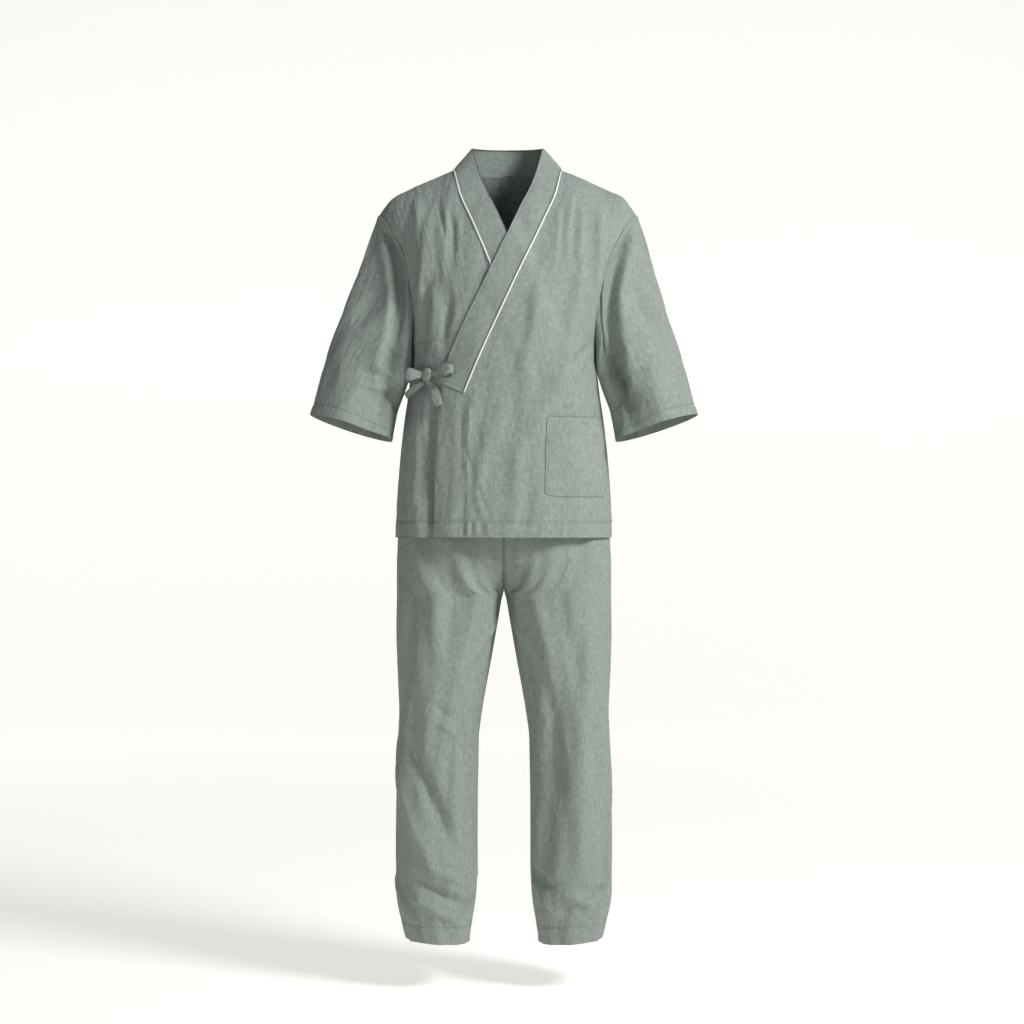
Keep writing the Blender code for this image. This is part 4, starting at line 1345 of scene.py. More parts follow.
@dataclass
class Collar:
    """Collar band in one piece round the neck, with white piping along its seam."""

    form: JacketForm
    body: JacketBody
    front_share: float = 0.80
    side_x: float = 0.065
    side_z: float = 0.042
    back_y: float = 0.068
    back_z: float = 0.050
    width: float = 0.05
    piping: float = 0.0015
    back_rise: float = 0.0020
    stations: int = 170
    columns: int = 14

    def half(self, stations: Array, over: bool) -> tuple[Array, Array]:
        """Points and lift of half the collar, from its front end to the middle of the back.

        Args:
            stations: Shares along.
            over: Whether this is the half that laps over.

        Returns:
            Grid of points, seam edge first, and the lift of each.
        """
        form = self.form
        front = stations <= self.front_share
        share = np.clip(stations / self.front_share, 0.0, 1.0)
        start = form.neck_seam[0][0] - form.armpit
        up = start + (form.rise * HALF - start) * share
        seam = form.torso(form.row_turn(up, form.seam_x), up)
        z = seam[..., 2]
        flat = follow(form.collar, 4, z)
        free = form.front_at(follow(form.collar, 1, z), follow(form.collar, 3, z))
        free[..., 1] = flat * free[..., 1] + (1 - flat) * follow(form.collar, 2, z)
        free[..., 2] = follow(form.collar, 3, z)
        turn = HALF * np.clip((stations - self.front_share) / (1 - self.front_share), 0.0, 1.0)
        back_x, back_y = form.neck_half * np.cos(turn), form.neck_back * np.sin(turn)
        rise = follow(form.shoulder, 1, back_x) - form.armpit
        height = form.armpit + form.neck_share(back_x, back_y) * rise
        seam = np.where(front[..., None], seam, point(back_x, back_y, height))
        free_back = point(self.side_x * np.cos(turn), self.back_y * np.sin(turn),
                          self.side_z + (self.back_z - self.side_z) * np.sin(turn))
        free = np.where(front[..., None], free, free_back)
        hug = np.where(front, flat, 0.0)[:, None]
        part = np.linspace(0, 1, self.columns + 1)[None, :]
        place = seam[:, None, :] * (1 - part[..., None]) + free[:, None, :] * part[..., None]
        on_body = form.front_at(place[..., 0], np.minimum(place[..., 2], -0.02))
        place[..., 1] += hug * (on_body[..., 1] - place[..., 1])
        x = place[..., 0] if over else -place[..., 0]
        lift = LAYER * (1.15 if over else 1.0) + self.body.fabric(x, place[..., 2]) * (0.3 + 0.4 * hug)
        if over:
            lift = lift + form.over_rise(place[..., 0], place[..., 2])
        roll = 0.0006 * bell(part, 0.05) + 0.0006 * bell(1 - part, 0.05)
        return place, lift - roll

    def build(self, linen: Finish, trim: Finish, stitches: Stitching) -> None:
        """Builds the band, its piping and the stitches beside the piping.

        Args:
            linen: Finish of the band.
            trim: Finish of the piping.
            stitches: Rows that take the collar's stitches.
        """
        stations = np.linspace(0, 1, self.stations + 1)
        over, over_lift = self.half(stations, True)
        under, under_lift = self.half(stations, False)
        place = np.concatenate([over, mirrored(under)[-2::-1]])
        lift = np.concatenate([over_lift, under_lift[-2::-1]])
        normal = unit(np.cross(np.gradient(place, axis=0), np.gradient(place, axis=1)))
        normal *= -np.sign(normal[0, 0, 1])
        sway = self.form.sway
        inside = sway(place + normal * (lift - BAND_WALL / 2)[..., None])
        outside = sway(place + normal * (lift + BAND_WALL / 2)[..., None])
        part = np.linspace(0, self.width, self.columns + 1)
        chart = np.stack(np.broadcast_arrays(part[None, :], travel(place[:, 0])[:, None]), axis=-1)
        # Painted shade along the band's seam edge, beside the piping.
        tone = 1 - 0.25 * bell(part, 0.0020)
        band = make_wall("collar_band_cloth", inside, outside, linen, chart, tone)
        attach(band, ROOT)
        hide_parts("collar_band")
        side = unit(place[:, 0] - place[:, 1])
        behind = ease((place[:, 0, 1] + 0.005) / 0.030)
        rise = lift[:, 0] + 0.0008 + self.back_rise * behind
        path = place[:, 0] + side * (self.piping + SEAM) + normal[:, 0] * rise[:, None]
        path = smoothed(path, 4)
        turns = np.linspace(0, 2 * math.pi, 11)[:-1]
        around = (side[:, None, :] * np.cos(turns)[None, :, None]
                  + normal[:, 0][:, None, :] * np.sin(turns)[None, :, None])
        rod = make_rod("collar_piping_cord", sway(path[:, None, :] + around * self.piping), trim)
        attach(rod, ROOT)
        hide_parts("collar_piping")
        inner = sway(place[:, 1] + normal[:, 1] * (lift[:, 1] + BAND_WALL / 2 + STITCH_PROUD)[:, None])
        stitches.add(inner, normal[:, 1])
        log.info("%s: %d faces", band.name, len(band.data.polygons))


@dataclass
class Pocket:
    """Patch pocket on the left front, made from points of that front moved out."""

    form: JacketForm
    body: JacketBody
    # Height, inner edge, outer edge
    edges: Rows = ((-0.6190, 0.0745, 0.1868), (-0.5450, 0.0762, 0.1840), (-0.4710, 0.0785, 0.1808))
    corner: float = 0.006
    top_hem: float = 0.033
    wide: float = 0.155
    tall: float = 0.148
    side_row: float = 0.026
    foot_row: float = 0.027
    crease: Creases = Creases(((0.100, -0.505, 0.150, -0.600, 0.0014, 0.010),
                               (0.160, -0.500, 0.140, -0.610, 0.0012, 0.009)))

    def surface(self, u: Array, v: Array) -> Array:
        """Chart of the pocket on the front's surface, with its lower corners cut off.

        Args:
            u: Share across.
            v: Share along.

        Returns:
            Points of the surface.
        """
        z = self.edges[0][0] + (self.edges[-1][0] - self.edges[0][0]) * v
        far = np.maximum(u * 2 - 1, 1 - u * 2)
        z = z + self.corner * np.clip(far, 0, 1) ** 6 * (1 - ease(v * 4))
        inner = follow(self.edges, 1, z)
        share = np.sin(HALF * np.clip(u, 0, 1)) + np.where(u < 0, HALF * u, 0.0)
        return self.form.front_at(inner + (follow(self.edges, 2, z) - inner) * share, z)

    def lift(self, u: Array, v: Array, base: Array) -> Array:
        """On top of the over front, seated at its edges, a little baggy between.

        Args:
            u: Share across.
            v: Share along.
            base: Points of the surface.

        Returns:
            Distance to move each point outward.
        """
        x, z = base[..., 0], base[..., 2]
        away = np.minimum(np.minimum(u, 1 - u) * self.wide, v * self.tall)
        baggy = 0.0012 * ease(away / 0.03)
        groove = -0.0004 * bell(away - 0.004, 0.0012)
        hem = -0.0004 * bell((1 - v) * self.tall - self.top_hem, 0.0014)
        under = self.body.over_lift(np.clip((x + 0.12) / 0.31, 0, 0.90), np.full(x.shape, 0.3), base)
        return under + 0.0014 + baggy + groove + hem + np.maximum(self.crease.height(x, z), 0)

    def chart(self, u: Array, v: Array, place: Array) -> Array:
        """Flat cloth of the pocket."""
        return np.stack([place[..., 0] + 3.0, place[..., 2]], axis=-1)

    def tone(self, u: Array, v: Array, place: Array) -> Array:
        """Painted shade along the pocket's edges."""
        away = np.minimum(np.minimum(u, 1 - u) * self.wide, np.minimum(v, 1 - v) * self.tall)
        return 1 - 0.2 * bell(away, 0.0016)

    def build(self, linen: Finish, stitches: Stitching) -> None:
        """Builds the pocket and its edge stitches.

        Args:
            linen: Finish of the cloth.
            stitches: Rows that take the pocket's stitches.
        """
        top = 1 - self.top_hem / self.tall
        sides = (self.side_row, 1 - self.side_row)
        panel = Panel("pocket", self.surface, self.lift, self.chart, spaced(60, sides, 0.006),
                      spaced(60, (top, self.foot_row), 0.006), (0.155, 0.15), 0.023,
                      ["jacket_front_left"], sway=self.form.sway, shade=self.tone)
        panel.build(linen)
        run = np.linspace(*sides, 60)
        up = np.linspace(self.foot_row, 0.995, 60)
        for row in (top, self.foot_row):
            stitches.add(*panel.line(run, np.full(60, row)))
        for side in sides:
            stitches.add(*panel.line(np.full(60, side), up))


@dataclass
class Bow:
    """Side tie in a bow: knot, two loops, two tails and the two straps that it ties."""

    form: JacketForm
    knot_x: float = -0.1375
    knot_z: float = -0.3930
    knot_lift: float = 0.0076
    knot_half: tuple[float, float, float] = (0.0114, 0.0070, 0.0128)
    strap: float = 0.0155
    loop_strap: float = 0.0255
    wall: float = 0.0016
    strap_lift: float = 0.0024
    loop_turn: float = 2.75
    loop_open: float = 0.0082
    loop_gap: float = 0.0012
    # Piece, places along it, width, twist towards the garment's left
    tails: Sequence[tuple[str, Rows, float, float]] = (
        ("tie_tail_right", ((-0.148, -0.102, -0.4075), (-0.159, -0.101, -0.4135),
                            (-0.1715, -0.096, -0.421), (-0.182, -0.089, -0.432)), 0.014, 0.0),
        ("tie_tail_left", ((-0.1405, -0.107, -0.405), (-0.131, -0.116, -0.419),
                           (-0.124, -0.123, -0.434), (-0.1195, -0.1275, -0.4505)), 0.0185, 0.5))
    # Piece, root at the knot, tip, tilt of the loop's opening
    loops: Sequence[tuple[str, Sequence[float], Sequence[float], float]] = (
        ("tie_loop_right", (-0.151, -0.0975, -0.3925), (-0.1832, -0.092, -0.3935), 0.16),
        ("tie_loop_left", (-0.1345, -0.112, -0.3905), (-0.095, -0.146, -0.384), 0.12))
    # Piece, sideways place of its start and end, height
    straps: Sequence[tuple[str, float, float, float]] = (
        ("tie_strap_left", -0.111, -0.1325, -0.3945), ("tie_strap_right", -0.1735, -0.1525, -0.3925))
    crumple: Crinkle = Crinkle(0.010, 0.030, 0.0007, 41)

    def strip(self, name: str, path: Array, wide: Array, linen: Finish, rests_on: str) -> None:
        """Flat strap: a path with the half-width direction at each point, crumpled and soft at its edges.

        Args:
            name: Name of the piece.
            path: Points along the middle.
            wide: Half-width vector at each point.
            linen: Finish of the strap.
            rests_on: What it hangs from; not used.
        """
        side = np.array([0.25, 0.5, 0.78, 0.86, 0.94, 1.0])
        share = np.concatenate([-side[::-1], [0.0], side])
        run = travel(path)
        half = np.linalg.norm(wide, axis=-1).mean()
        normal = unit(np.cross(np.gradient(path, axis=0), wide))[:, None, :]
        place = path[:, None, :] + wide[:, None, :] * share[None, :, None]
        calm = ease(run / 0.008)[:, None]
        wave = self.crumple.height(share[None, :] * half, run[:, None]) * calm
        crown = 0.0008 * (1 - share[None, :] ** 2) * calm
        place = place + normal * (wave + crown)[..., None]
        thick = self.wall / 2 * (1 - 0.55 * np.abs(share) ** 6)[None, :, None]
        sway = self.form.sway
        chart = np.stack(np.broadcast_arrays(share[None, :] * half, run[:, None]), axis=-1)
        # Painted shade in a line just inside both edges of the strap.
        tone = 1 - 0.34 * bell(np.abs(share) - 0.86, 0.06)
        piece = make_wall(f"{name}_cloth", sway(place - normal * thick), sway(place + normal * thick),
                          linen, chart, tone)
        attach(piece, ROOT)
        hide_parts(name)

    def build(self, linen: Finish) -> None:
        """Builds the bow.

        Args:
            linen: Finish of the tie.
        """
        form = self.form
        centre = form.front_at(self.knot_x, self.knot_z)
        out = form.front_normal(self.knot_x, self.knot_z)
        right = unit(np.cross(np.array([0.0, 0.0, 1.0]), -out))
        right = right * np.sign(right[0])
        up = unit(np.cross(out, right))
        up = up * np.sign(up[2])
        self.knot(centre + out * self.knot_lift, right, out, up, linen)
        for name, rows, width, twist in self.tails:
            self.strip(name, *self.tail(rows, width, twist, out), linen, "tie_knot")
        for name, root, tip, tilt in self.loops:
            self.strip(name, *self.loop(np.array(root), np.array(tip), tilt, out, up), linen, "tie_knot")
        for name, starts, ends, height in self.straps:
            x = np.linspace(starts, ends, 30)
            z = np.full(x.shape, height)
            path = form.front_at(x, z) + form.front_normal(x, z) * self.strap_lift
            wide = np.broadcast_to(np.array([0.0, 0.0, self.strap / 2]), path.shape)
            self.strip(name, path, wide, linen, "jacket_front_right")

    def tail(self, rows: Rows, width: float, twist: float, out: Array) -> tuple[Array, Array]:
        """Hanging end of the tie: a smooth line through places, widening from the knot.

        Args:
            rows: Places along it.
            width: Width at its end.
            twist: Turn of its width towards the garment's left.
            out: Direction out of the jacket.

        Returns:
            Points along the middle, and the half-width vector at each.
        """
        table = [(index, *place) for index, place in enumerate(rows)]
        at = np.linspace(0, len(rows) - 1, 45)
        path = np.stack([follow(table, column, at) for column in (1, 2, 3)], axis=-1)
        spread = 0.55 + 0.45 * ease(np.linspace(0, 1.8, 45))
        flat = unit(np.cross(np.gradient(path, axis=0), out[None, :]))
        flat = flat * np.sign(flat[:, :1] + 1e-9)
        turned = flat * math.cos(twist) - out * math.sin(twist)
        return path, turned * (width / 2 * spread)[:, None]

    def loop(self, root: Array, tip: Array, tilt: float, out: Array, up: Array) -> tuple[Array, Array]:
        """Loop of the tie: out and back along one line, opened by the sine of the way round.

        Args:
            root: Place where it leaves the knot.
            tip: Place of its far end.
            tilt: Turn of its opening upward.
            out: Direction out of the jacket.
            up: Direction up.

        Returns:
            Points along the middle, and the half-width vector at each.
        """
        turns = np.linspace(-self.loop_turn, self.loop_turn, 90)
        share = (1 + np.cos(turns)) / 2
        along = unit(tip - root)
        lean = out * math.cos(tilt) + up * math.sin(tilt)
        spread = unit(np.cross(unit(np.cross(along, lean)), along))
        narrow = (0.46 + 0.54 * ease(share / 0.75)) * (1 - 0.34 * ease((share - 0.80) / 0.20))
        opening = self.loop_open * np.sin(turns) * share ** 0.6 + self.loop_gap * np.tanh(4 * turns)
        path = root + (tip - root) * share[:, None] + spread * opening[:, None]
        return path, unit(np.cross(along, spread))[None, :] * (self.loop_strap / 2 * narrow)[:, None]

    def knot(self, centre: Array, right: Array, out: Array, up: Array, linen: Finish) -> None:
        """Knot: a rounded block whose middle is pinched by two slanting folds.

        Args:
            centre: Middle of the knot.
            right: Direction along the jacket.
            out: Direction out of the jacket.
            up: Direction up.
            linen: Finish of the tie.
        """
        turns, levels = 48, 31
        angle = np.linspace(0, 2 * math.pi, turns + 1)[:-1][None, :]
        tilt = np.linspace(-HALF, HALF, levels)[1:-1, None]

        def power(value: Array) -> Array:
            """Sign-keeping power that squares the ball a little."""
            return np.sign(value) * np.abs(value) ** 0.88

        a = power(np.cos(tilt)) * power(np.cos(angle))
        b = power(np.cos(tilt)) * power(np.sin(angle))
        c = power(np.sin(tilt)) * np.ones(angle.shape)
        slant = a - 0.35 * c
        fold = 1 - 0.10 * bell(slant - 0.30, 0.14) - 0.10 * bell(slant + 0.34, 0.14) - 0.05 * np.abs(c) ** 3
        rings = (centre + (a * fold * self.knot_half[0])[..., None] * right
                 + (b * fold * self.knot_half[1])[..., None] * out
                 + (c * self.knot_half[2])[..., None] * up)
        piece = make_rod("tie_knot_cloth", self.form.sway(rings), linen)
        layer = piece.data.uv_layers.new(name="UVMap")
        places = np.empty(len(piece.data.vertices) * 3)
        piece.data.vertices.foreach_get("co", places)
        corners = np.empty(len(piece.data.loops), dtype=np.int32)
        piece.data.loops.foreach_get("vertex_index", corners)
        chart = places.reshape(-1, 3)[:, [0, 2]]
        layer.data.foreach_set("uv", chart[corners].astype(np.float32).ravel())
        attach(piece, ROOT)
        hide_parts("tie_knot")


@dataclass
class Trousers:
    """Straight trousers: four panels and the elastic waistband."""

    power: float = 2.25
    across: float = 0.30
    length: float = 0.93
    gather: float = 0.017
    ripples: int = 60
    hem_dip: float = 0.009
    hem_band: float = 0.032
    waist_top: float = -0.482
    crinkle: Crinkle = Crinkle(0.012, 0.060, 0.00046, 51)
    drape: Crinkle = Crinkle(0.060, 0.240, 0.0024, 52)
    pucker: Crinkle = Crinkle(0.010, 0.030, 0.00050, 53)
    # Height, outer side, inner side, front depth, back depth, middle in Y
    rows: Rows = (
        (-1.451, 0.1885, 0.0648, 0.084, 0.086, 0.01), (-1.422, 0.1952, 0.06, 0.086, 0.088, 0.009),
        (-1.394, 0.2018, 0.0552, 0.09, 0.092, 0.008), (-1.365, 0.2052, 0.052, 0.092, 0.096, 0.008),
        (-1.308, 0.2048, 0.0498, 0.092, 0.098, 0.006), (-1.194, 0.2046, 0.0495, 0.093, 0.098, 0.003),
        (-1.08, 0.2012, 0.0478, 0.095, 0.096, 0.0), (-1.023, 0.1985, 0.041, 0.098, 0.098, -0.002),
        (-0.966, 0.201, 0.0312, 0.101, 0.102, -0.003), (-0.909, 0.203, 0.0208, 0.104, 0.107, -0.003),
        (-0.852, 0.204, 0.0108, 0.108, 0.112, -0.002), (-0.797, 0.2032, 0.0002, 0.112, 0.12, 0.0),
        (-0.778, 0.2036, -0.012, 0.114, 0.123, 0.0), (-0.74, 0.2034, -0.045, 0.117, 0.128, 0.0),
        (-0.7, 0.2014, -0.085, 0.12, 0.131, 0.0), (-0.665, 0.202, -0.125, 0.121, 0.131, 0.0),
        (-0.62, 0.193, -0.164, 0.12, 0.128, 0.0), (-0.57, 0.174, -0.174, 0.116, 0.119, 0.0),
        (-0.5206, 0.155, -0.155, 0.11, 0.11, 0.0))
    # Share from side seam to inner seam and height, of both ends, rise, half width share
    front_left: Rows = (
        (0.56, -0.93, 0.64, -1.18, -0.012, 0.09), (0.64, -1.09, 0.76, -1.33, -0.012, 0.1),
        (0.36, -0.98, 0.44, -1.32, 0.01, 0.08), (0.93, -1.315, 0.56, -1.355, -0.0105, 0.04),
        (0.46, -1.355, 0.08, -1.35, -0.007, 0.026), (0.68, -1.35, 0.3, -1.395, 0.0075, 0.028),
        (0.62, -1.402, 0.17, -1.358, -0.0085, 0.026), (0.9, -1.34, 0.62, -1.41, 0.006, 0.026),
        (0.05, -1.08, 0.18, -1.42, 0.006, 0.034), (0.15, -1.12, 0.26, -1.38, -0.0046, 0.03),
        (0.955, -0.69, 0.9, -0.79, -0.005, 0.026), (0.86, -0.68, 0.74, -0.9, 0.005, 0.06),
        (0.76, -0.68, 0.7, -0.8, -0.003, 0.03), (0.64, -0.68, 0.58, -1.0, 0.005, 0.05),
        (0.96, -0.82, 0.6, -0.96, 0.0046, 0.028), (0.95, -0.85, 0.68, -1.01, -0.0036, 0.022),
        (0.48, -0.69, 0.46, -0.9, -0.0036, 0.04), (0.3, -0.68, 0.32, -1.0, 0.0046, 0.05),
        (0.15, -0.7, 0.14, -1.06, 0.004, 0.04), (0.86, -1.06, 0.8, -1.33, 0.0026, 0.036),
        (0.56, -0.99, 0.76, -1.06, 0.0034, 0.02), (0.3, -1.04, 0.5, -1.075, -0.003, 0.018))
    front_right: Rows = (
        (0.06, -1.07, 0.53, -1.33, 0.01, 0.05), (0.2, -1.06, 0.68, -1.3, -0.011, 0.055),
        (0.28, -1.328, 0.95, -1.4, -0.012, 0.034), (0.28, -1.36, 0.72, -1.415, 0.0075, 0.028),
        (0.42, -1.315, 0.86, -1.355, 0.007, 0.024), (0.06, -1.33, 0.3, -1.42, 0.0056, 0.028),
        (0.96, -1.28, 0.7, -1.42, 0.005, 0.028), (0.955, -0.69, 0.91, -0.79, -0.005, 0.026),
        (0.86, -0.68, 0.8, -0.88, 0.005, 0.06), (0.78, -0.68, 0.74, -0.8, -0.0036, 0.028),
        (0.66, -0.68, 0.62, -0.98, 0.0056, 0.046), (0.5, -0.68, 0.52, -0.92, -0.0046, 0.04),
        (0.38, -0.68, 0.4, -1.1, 0.006, 0.055), (0.22, -0.69, 0.24, -1.0, -0.004, 0.04),
        (0.12, -0.7, 0.12, -0.98, 0.0036, 0.036), (0.96, -0.83, 0.64, -0.95, 0.0044, 0.026),
        (0.78, -0.93, 0.76, -1.2, 0.005, 0.04), (0.6, -1.0, 0.66, -1.24, 0.005, 0.044),
        (0.42, -1.0, 0.64, -1.04, -0.0034, 0.018), (0.44, -1.03, 0.7, -1.075, 0.0034, 0.018),
        (0.2, -0.98, 0.26, -1.2, 0.004, 0.044))
    back: Rows = (
        (0.15, -0.86, 0.85, -0.83, -0.008, 0.07), (0.2, -1.08, 0.8, -1.11, 0.0085, 0.07),
        (0.45, -0.9, 0.5, -1.3, 0.007, 0.08), (0.1, -1.36, 0.75, -1.4, 0.008, 0.055),
        (0.9, -0.8, 0.5, -0.88, 0.006, 0.055), (0.25, -1.13, 0.85, -1.15, -0.006, 0.05),
        (0.7, -1.15, 0.66, -1.38, 0.005, 0.055), (0.15, -0.7, 0.22, -0.98, 0.005, 0.06),
        (0.2, -1.4, 0.8, -1.42, -0.005, 0.04), (0.6, -0.7, 0.55, -0.85, 0.004, 0.06))

    def leg(self, turn: Array, z: Array) -> Array:
        """Left leg outside: superellipse rings, turn 0 at the side seam, negative behind.

        Args:
            turn: Angle round the leg.
            z: Height.

        Returns:
            Points of the surface.
        """
        outer, inner = follow(self.rows, 1, z), follow(self.rows, 2, z)
        cosine = np.cos(turn)
        edge = np.maximum(1 - np.abs(cosine) ** self.power, 0.0) ** (1 / self.power)
        facing = -np.sign(np.sin(turn))
        depth = np.where(facing < 0, follow(self.rows, 3, z), follow(self.rows, 4, z))
        return point((outer + inner) / 2 + (outer - inner) / 2 * cosine,
                     follow(self.rows, 5, z) + facing * depth * edge, z)

    def stop(self, z: Array) -> Array:
        """Turn at which a panel meets its neighbour at the middle or at the inner seam."""
        outer, inner = follow(self.rows, 1, z), follow(self.rows, 2, z)
        return np.arccos(np.clip((SEAM - outer - inner) / (outer - inner), -1.0, 1.0))

    def surface(self, u: Array, v: Array, facing: int) -> Array:
        """One panel of the left leg.

        Args:
            u: Share from side seam to inner seam.
            v: Share from hem to waist.
            facing: 1 in front, -1 behind.

        Returns:
            Points of the surface.
        """
        low = self.rows[0][0] - self.hem_dip * ease(u) * (0.6 + 0.4 * facing)
        z = low + (self.rows[-1][0] - low) * v
        return self.leg(facing * self.stop(z) * u, z)

    def lift(self, u: Array, v: Array, base: Array, facing: int, other: bool) -> Array:
        """Creases, drape, crinkle, gathers at the waist and the folded hem.

        Args:
            u: Share from side seam to inner seam.
            v: Share from hem to waist.
            base: Points of the surface.
            facing: 1 in front, -1 behind.
            other: Whether it is on the garment's right.

        Returns:
            Distance to move each point outward.
        """
        z = base[..., 2]
        table = self.back if facing < 0 else self.front_right if other else self.front_left
        creases = Creases([(a * self.across, b, c * self.across, d, rise, width * self.across)
                           for a, b, c, d, rise, width in table])
        across = u * self.across + (0.0 if facing > 0 else 0.9)
        calm = ease(u / 0.10) * ease((1 - u) / 0.10)
        hidden = ease((-0.640 - z) / 0.05)
        from_row = v * self.length - self.hem_band
        hem = folded_hem(from_row, 0.0018)
        ripple = self.pucker.height(across, v * self.length) * bell(from_row, 0.014)
        seam = bell(u * self.across, 0.0024) + bell((1 - u) * self.across, 0.0024)
        gathers = 0.0016 * np.sin(2 * math.pi * across / self.gather) * ease((z + 0.60) / 0.07)
        joined = ease((u - 0.90) / 0.08) * ease((z + 0.800) / 0.01)
        folds = creases.height(u * self.across, z) + self.drape.height(across, z) * hidden
        fine = self.crinkle.height(across, z) + ripple + gathers
        inward = (WALL / 2 + 0.0002 + 0.0005 * seam) * (1 - joined)
        return (folds * (0.2 + 0.8 * hidden) + fine) * calm + hem - inward

    def chart(self, u: Array, v: Array, place: Array) -> Array:
        """Flat cloth of a leg: the arc round it across, and height along."""
        across = 0.112 * np.arcsin(np.clip((place[..., 0] - 0.105) / 0.114, -1, 1))
        return np.stack([across + np.where(place[..., 1] < 0, 4.0, 5.0), place[..., 2]], axis=-1)

    def tone(self, u: Array, v: Array, place: Array) -> Array:
        """Painted shade along the hem's stitch row and the seams, stronger at the middle seam above the
        crotch.

        Args:
            u: Share across.
            v: Share along.
            place: Points of the surface.

        Returns:
            Share of colour left by the painted shade at each point, 1 where the cloth has its own colour.
        """
        row = bell(v * self.length - self.hem_band, ROW_HALF)
        middle = 0.15 + 0.20 * ease((place[..., 2] + 0.80) / 0.02)
        return 1 - 0.09 * row - middle * bell((1 - u) * self.across, 0.0024)

    def panel(self, name: str, facing: int, other: bool) -> Panel:
        """One leg panel.

        Args:
            name: Name of its node.
            facing: 1 in front, -1 behind.
            other: Whether it is on the garment's right.

        Returns:
            The panel, ready to build.
        """
        gap = np.array([0.0, -facing * SEAM / 2, 0.0])

        def apart(place: Array) -> Array:
            """Keeps the seam gap at the side and at the middle of the body.

            Args:
                place: Points to move.

            Returns:
                The moved points.
            """
            place = place + gap
            place[..., 0] = np.maximum(place[..., 0], SEAM / 2)
            return place

        width, area = (0.30, 0.26) if facing > 0 else (0.33, 0.29)
        return Panel(name, partial(self.surface, facing=facing),
                     partial(self.lift, facing=facing, other=other), self.chart,
                     spaced(84, (), 0.006), spaced(180, (self.hem_band / self.length,), 0.0012),
                     (width, 1.02), area, ["jacket_back"], sign=-float(facing), other_side=other,
                     shade=self.tone, keep=apart)

    def build(self, linen: Finish, stitches: Stitching) -> None:
        """Builds the panels, the hem stitches and the waistband.

        Args:
            linen: Finish of the cloth.
            stitches: Rows that take the hem stitches.
        """
        for side, other in (("left", False), ("right", True)):
            for part, facing in (("front", 1), ("back", -1)):
                panel = self.panel(f"trouser_{part}_{side}", facing, other)
                panel.build(linen)
                run = np.linspace(0.01, 0.99, 90)
                stitches.add(*panel.line(run, np.full(run.shape, self.hem_band / self.length)))
        self.waistband(linen)

    def waistband(self, linen: Finish) -> None:
        """Elastic casing at the waist: a band whose wall ripples where the elastic draws it in.

        Args:
            linen: Finish of the cloth.
        """
        turn = np.linspace(0, 2 * math.pi, 361)[:-1]
        low = self.leg(turn, np.full(turn.shape, self.rows[-1][0]))
        share = np.linspace(0, 1, 13)[:, None]
        foot = self.rows[-1][0] + SEAM
        z = foot + (self.waist_top - foot) * share
        rings = point(low[None, :, 0], low[None, :, 1], z)
        out = unit(rings * np.array([1.0, 1.0, 0.0]))
        ripple = 0.0011 * np.sin(self.ripples * turn)[None, :] * np.sin(math.pi * share) ** 0.5
        rings = rings + out * (ripple - 0.0014)[..., None]
        run = np.cumsum(np.linalg.norm(np.diff(low, axis=0, append=low[:1]), axis=-1))
        chart = np.stack(np.broadcast_arrays(run[None, :], z), axis=-1)
        half = WAIST_WALL / 2
        piece = make_wall("waistband_cloth", rings - out * half, rings + out * half, linen, chart,
                          ring=True, whole=False)
        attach(piece, ROOT)
        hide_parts("waistband")


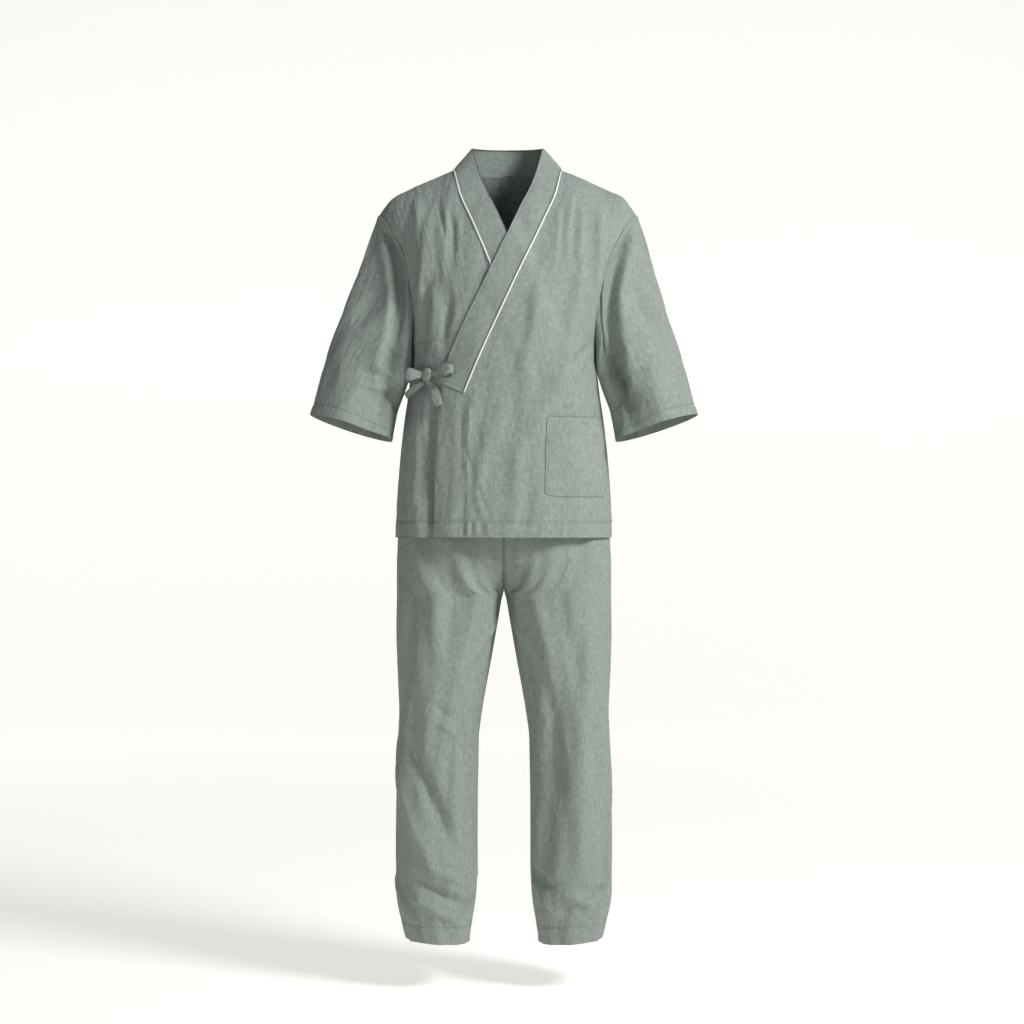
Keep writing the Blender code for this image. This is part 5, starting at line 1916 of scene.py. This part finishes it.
@dataclass
class Studio:
    """Pale floor, soft light and the camera at the photograph's angle."""

    distance: float = 4.5
    centre_x: float = 0.0152
    centre_z: float = -0.647
    lens: float = 83.3
    floor_z: float = -1.545
    floor_half: float = 4.2
    bend: float = 1.6
    back: float = 6.4
    reach: float = 6.0
    ambient: float = 0.15
    glow: float = 0.63
    backdrop: tuple[float, float, float] = (0.965, 0.955, 0.925)
    # Name, place, what it is turned to, watts, side of the square
    lamps: Sequence[tuple[str, Sequence[float], Sequence[float], float, float]] = (
        ("key", (3.0, -2.4, 2.1), (0.0, 0.0, -0.5), 232.0, 1.3),
        ("fill", (-1.8, -4.2, 0.4), (0.0, 0.0, -0.8), 15.0, 2.6),
        ("backdrop_left", (-3.2, 3.4, 0.6), (-1.0, 6.4, -0.5), 16.0, 1.8),
        ("backdrop_right", (3.2, 3.4, 0.6), (1.0, 6.4, -0.5), 14.0, 1.8))

    def build(self) -> None:
        """Builds the floor, the backdrop, the lights and the camera."""
        self.floor()
        scene = bpy.context.scene
        data = bpy.data.cameras.new("camera")
        data.lens = self.lens
        data.sensor_width = 36.0
        camera = bpy.data.objects.new("camera", data)
        scene.collection.objects.link(camera)
        camera.location = (self.centre_x, -self.distance, self.centre_z)
        camera.rotation_euler = (HALF, 0.0, 0.0)
        scene.camera = camera
        for name, place, aim, power, size in self.lamps:
            self.light(name, place, aim, power, size)
        world = bpy.data.worlds.new("studio")
        world.use_nodes = True
        background = world.node_tree.nodes["Background"]
        background.inputs["Color"].default_value = (*self.backdrop, 1.0)
        background.inputs["Strength"].default_value = self.ambient
        scene.world = world
        scene.view_settings.view_transform = "Standard"

    def floor(self) -> None:
        """Floor that curves up into a backdrop: a profile of a flat run, an arc and a straight rise."""
        arc = np.linspace(-HALF, 0, 17)
        bent = np.stack([self.back - self.bend + self.bend * np.cos(arc),
                         self.floor_z + self.bend + self.bend * np.sin(arc)], axis=-1)
        start, end = [-self.reach, self.floor_z], [self.back, self.floor_z + self.reach]
        profile = np.concatenate([[start], bent, [end]])
        x = np.array([-self.floor_half, self.floor_half])
        grid = point(x[None, :], profile[:, 0][:, None], profile[:, 1][:, None])
        index = np.arange(grid[..., 0].size).reshape(grid.shape[:2])
        faces = np.stack([index[:-1, 0], index[:-1, 1], index[1:, 1], index[1:, 0]], axis=-1)
        material = bpy.data.materials.new("paper_floor")
        material.use_nodes = True
        shader = material.node_tree.nodes["Principled BSDF"]
        setup(shader, {"Base Color": (*(0.6 * part for part in self.backdrop), 1.0), "Roughness": 0.95,
                       "Emission Color": (*self.backdrop, 1.0), "Emission Strength": self.glow})
        make_mesh("floor", grid.reshape(-1, 3), faces, material)

    def light(self, name: str, place: Sequence[float], aim: Sequence[float],
              power: float, size: float) -> None:
        """Square soft light.

        Args:
            name: Name of the light.
            place: Where it stands.
            aim: Place it is turned to.
            power: Watts.
            size: Side of the square.
        """
        data = bpy.data.lights.new(name, "AREA")
        data.energy = power
        data.size = size
        lamp = bpy.data.objects.new(name, data)
        bpy.context.scene.collection.objects.link(lamp)
        lamp.location = place
        lamp.rotation_euler = (Vector(aim) - Vector(place)).to_track_quat("-Z", "Y").to_euler()


def main() -> None:
    """Builds the jacket, the trousers and the studio, in order."""
    logging.basicConfig(level=logging.INFO, format="%(name)s: %(message)s")
    linen = LinenFinish().material()
    trim = TrimFinish("white_piping", (0.90, 0.92, 0.90), 0.6, 900.0).material()
    thread = TrimFinish("sage_thread", (0.235, 0.268, 0.240), 0.6, 1500.0).material()
    form = JacketForm()
    jacket_stitches = Stitching("jacket_stitching")
    trouser_stitches = Stitching("trouser_stitching")
    body = JacketBody(form)
    body.build(linen, jacket_stitches)
    Sleeves(form).build(linen, jacket_stitches)
    Collar(form, body).build(linen, trim, jacket_stitches)
    Pocket(form, body).build(linen, jacket_stitches)
    Bow(form).build(linen)
    Trousers().build(linen, trouser_stitches)
    jacket_stitches.build(thread)
    trouser_stitches.build(thread)
    Studio().build()


if __name__ == "__main__":
    main()
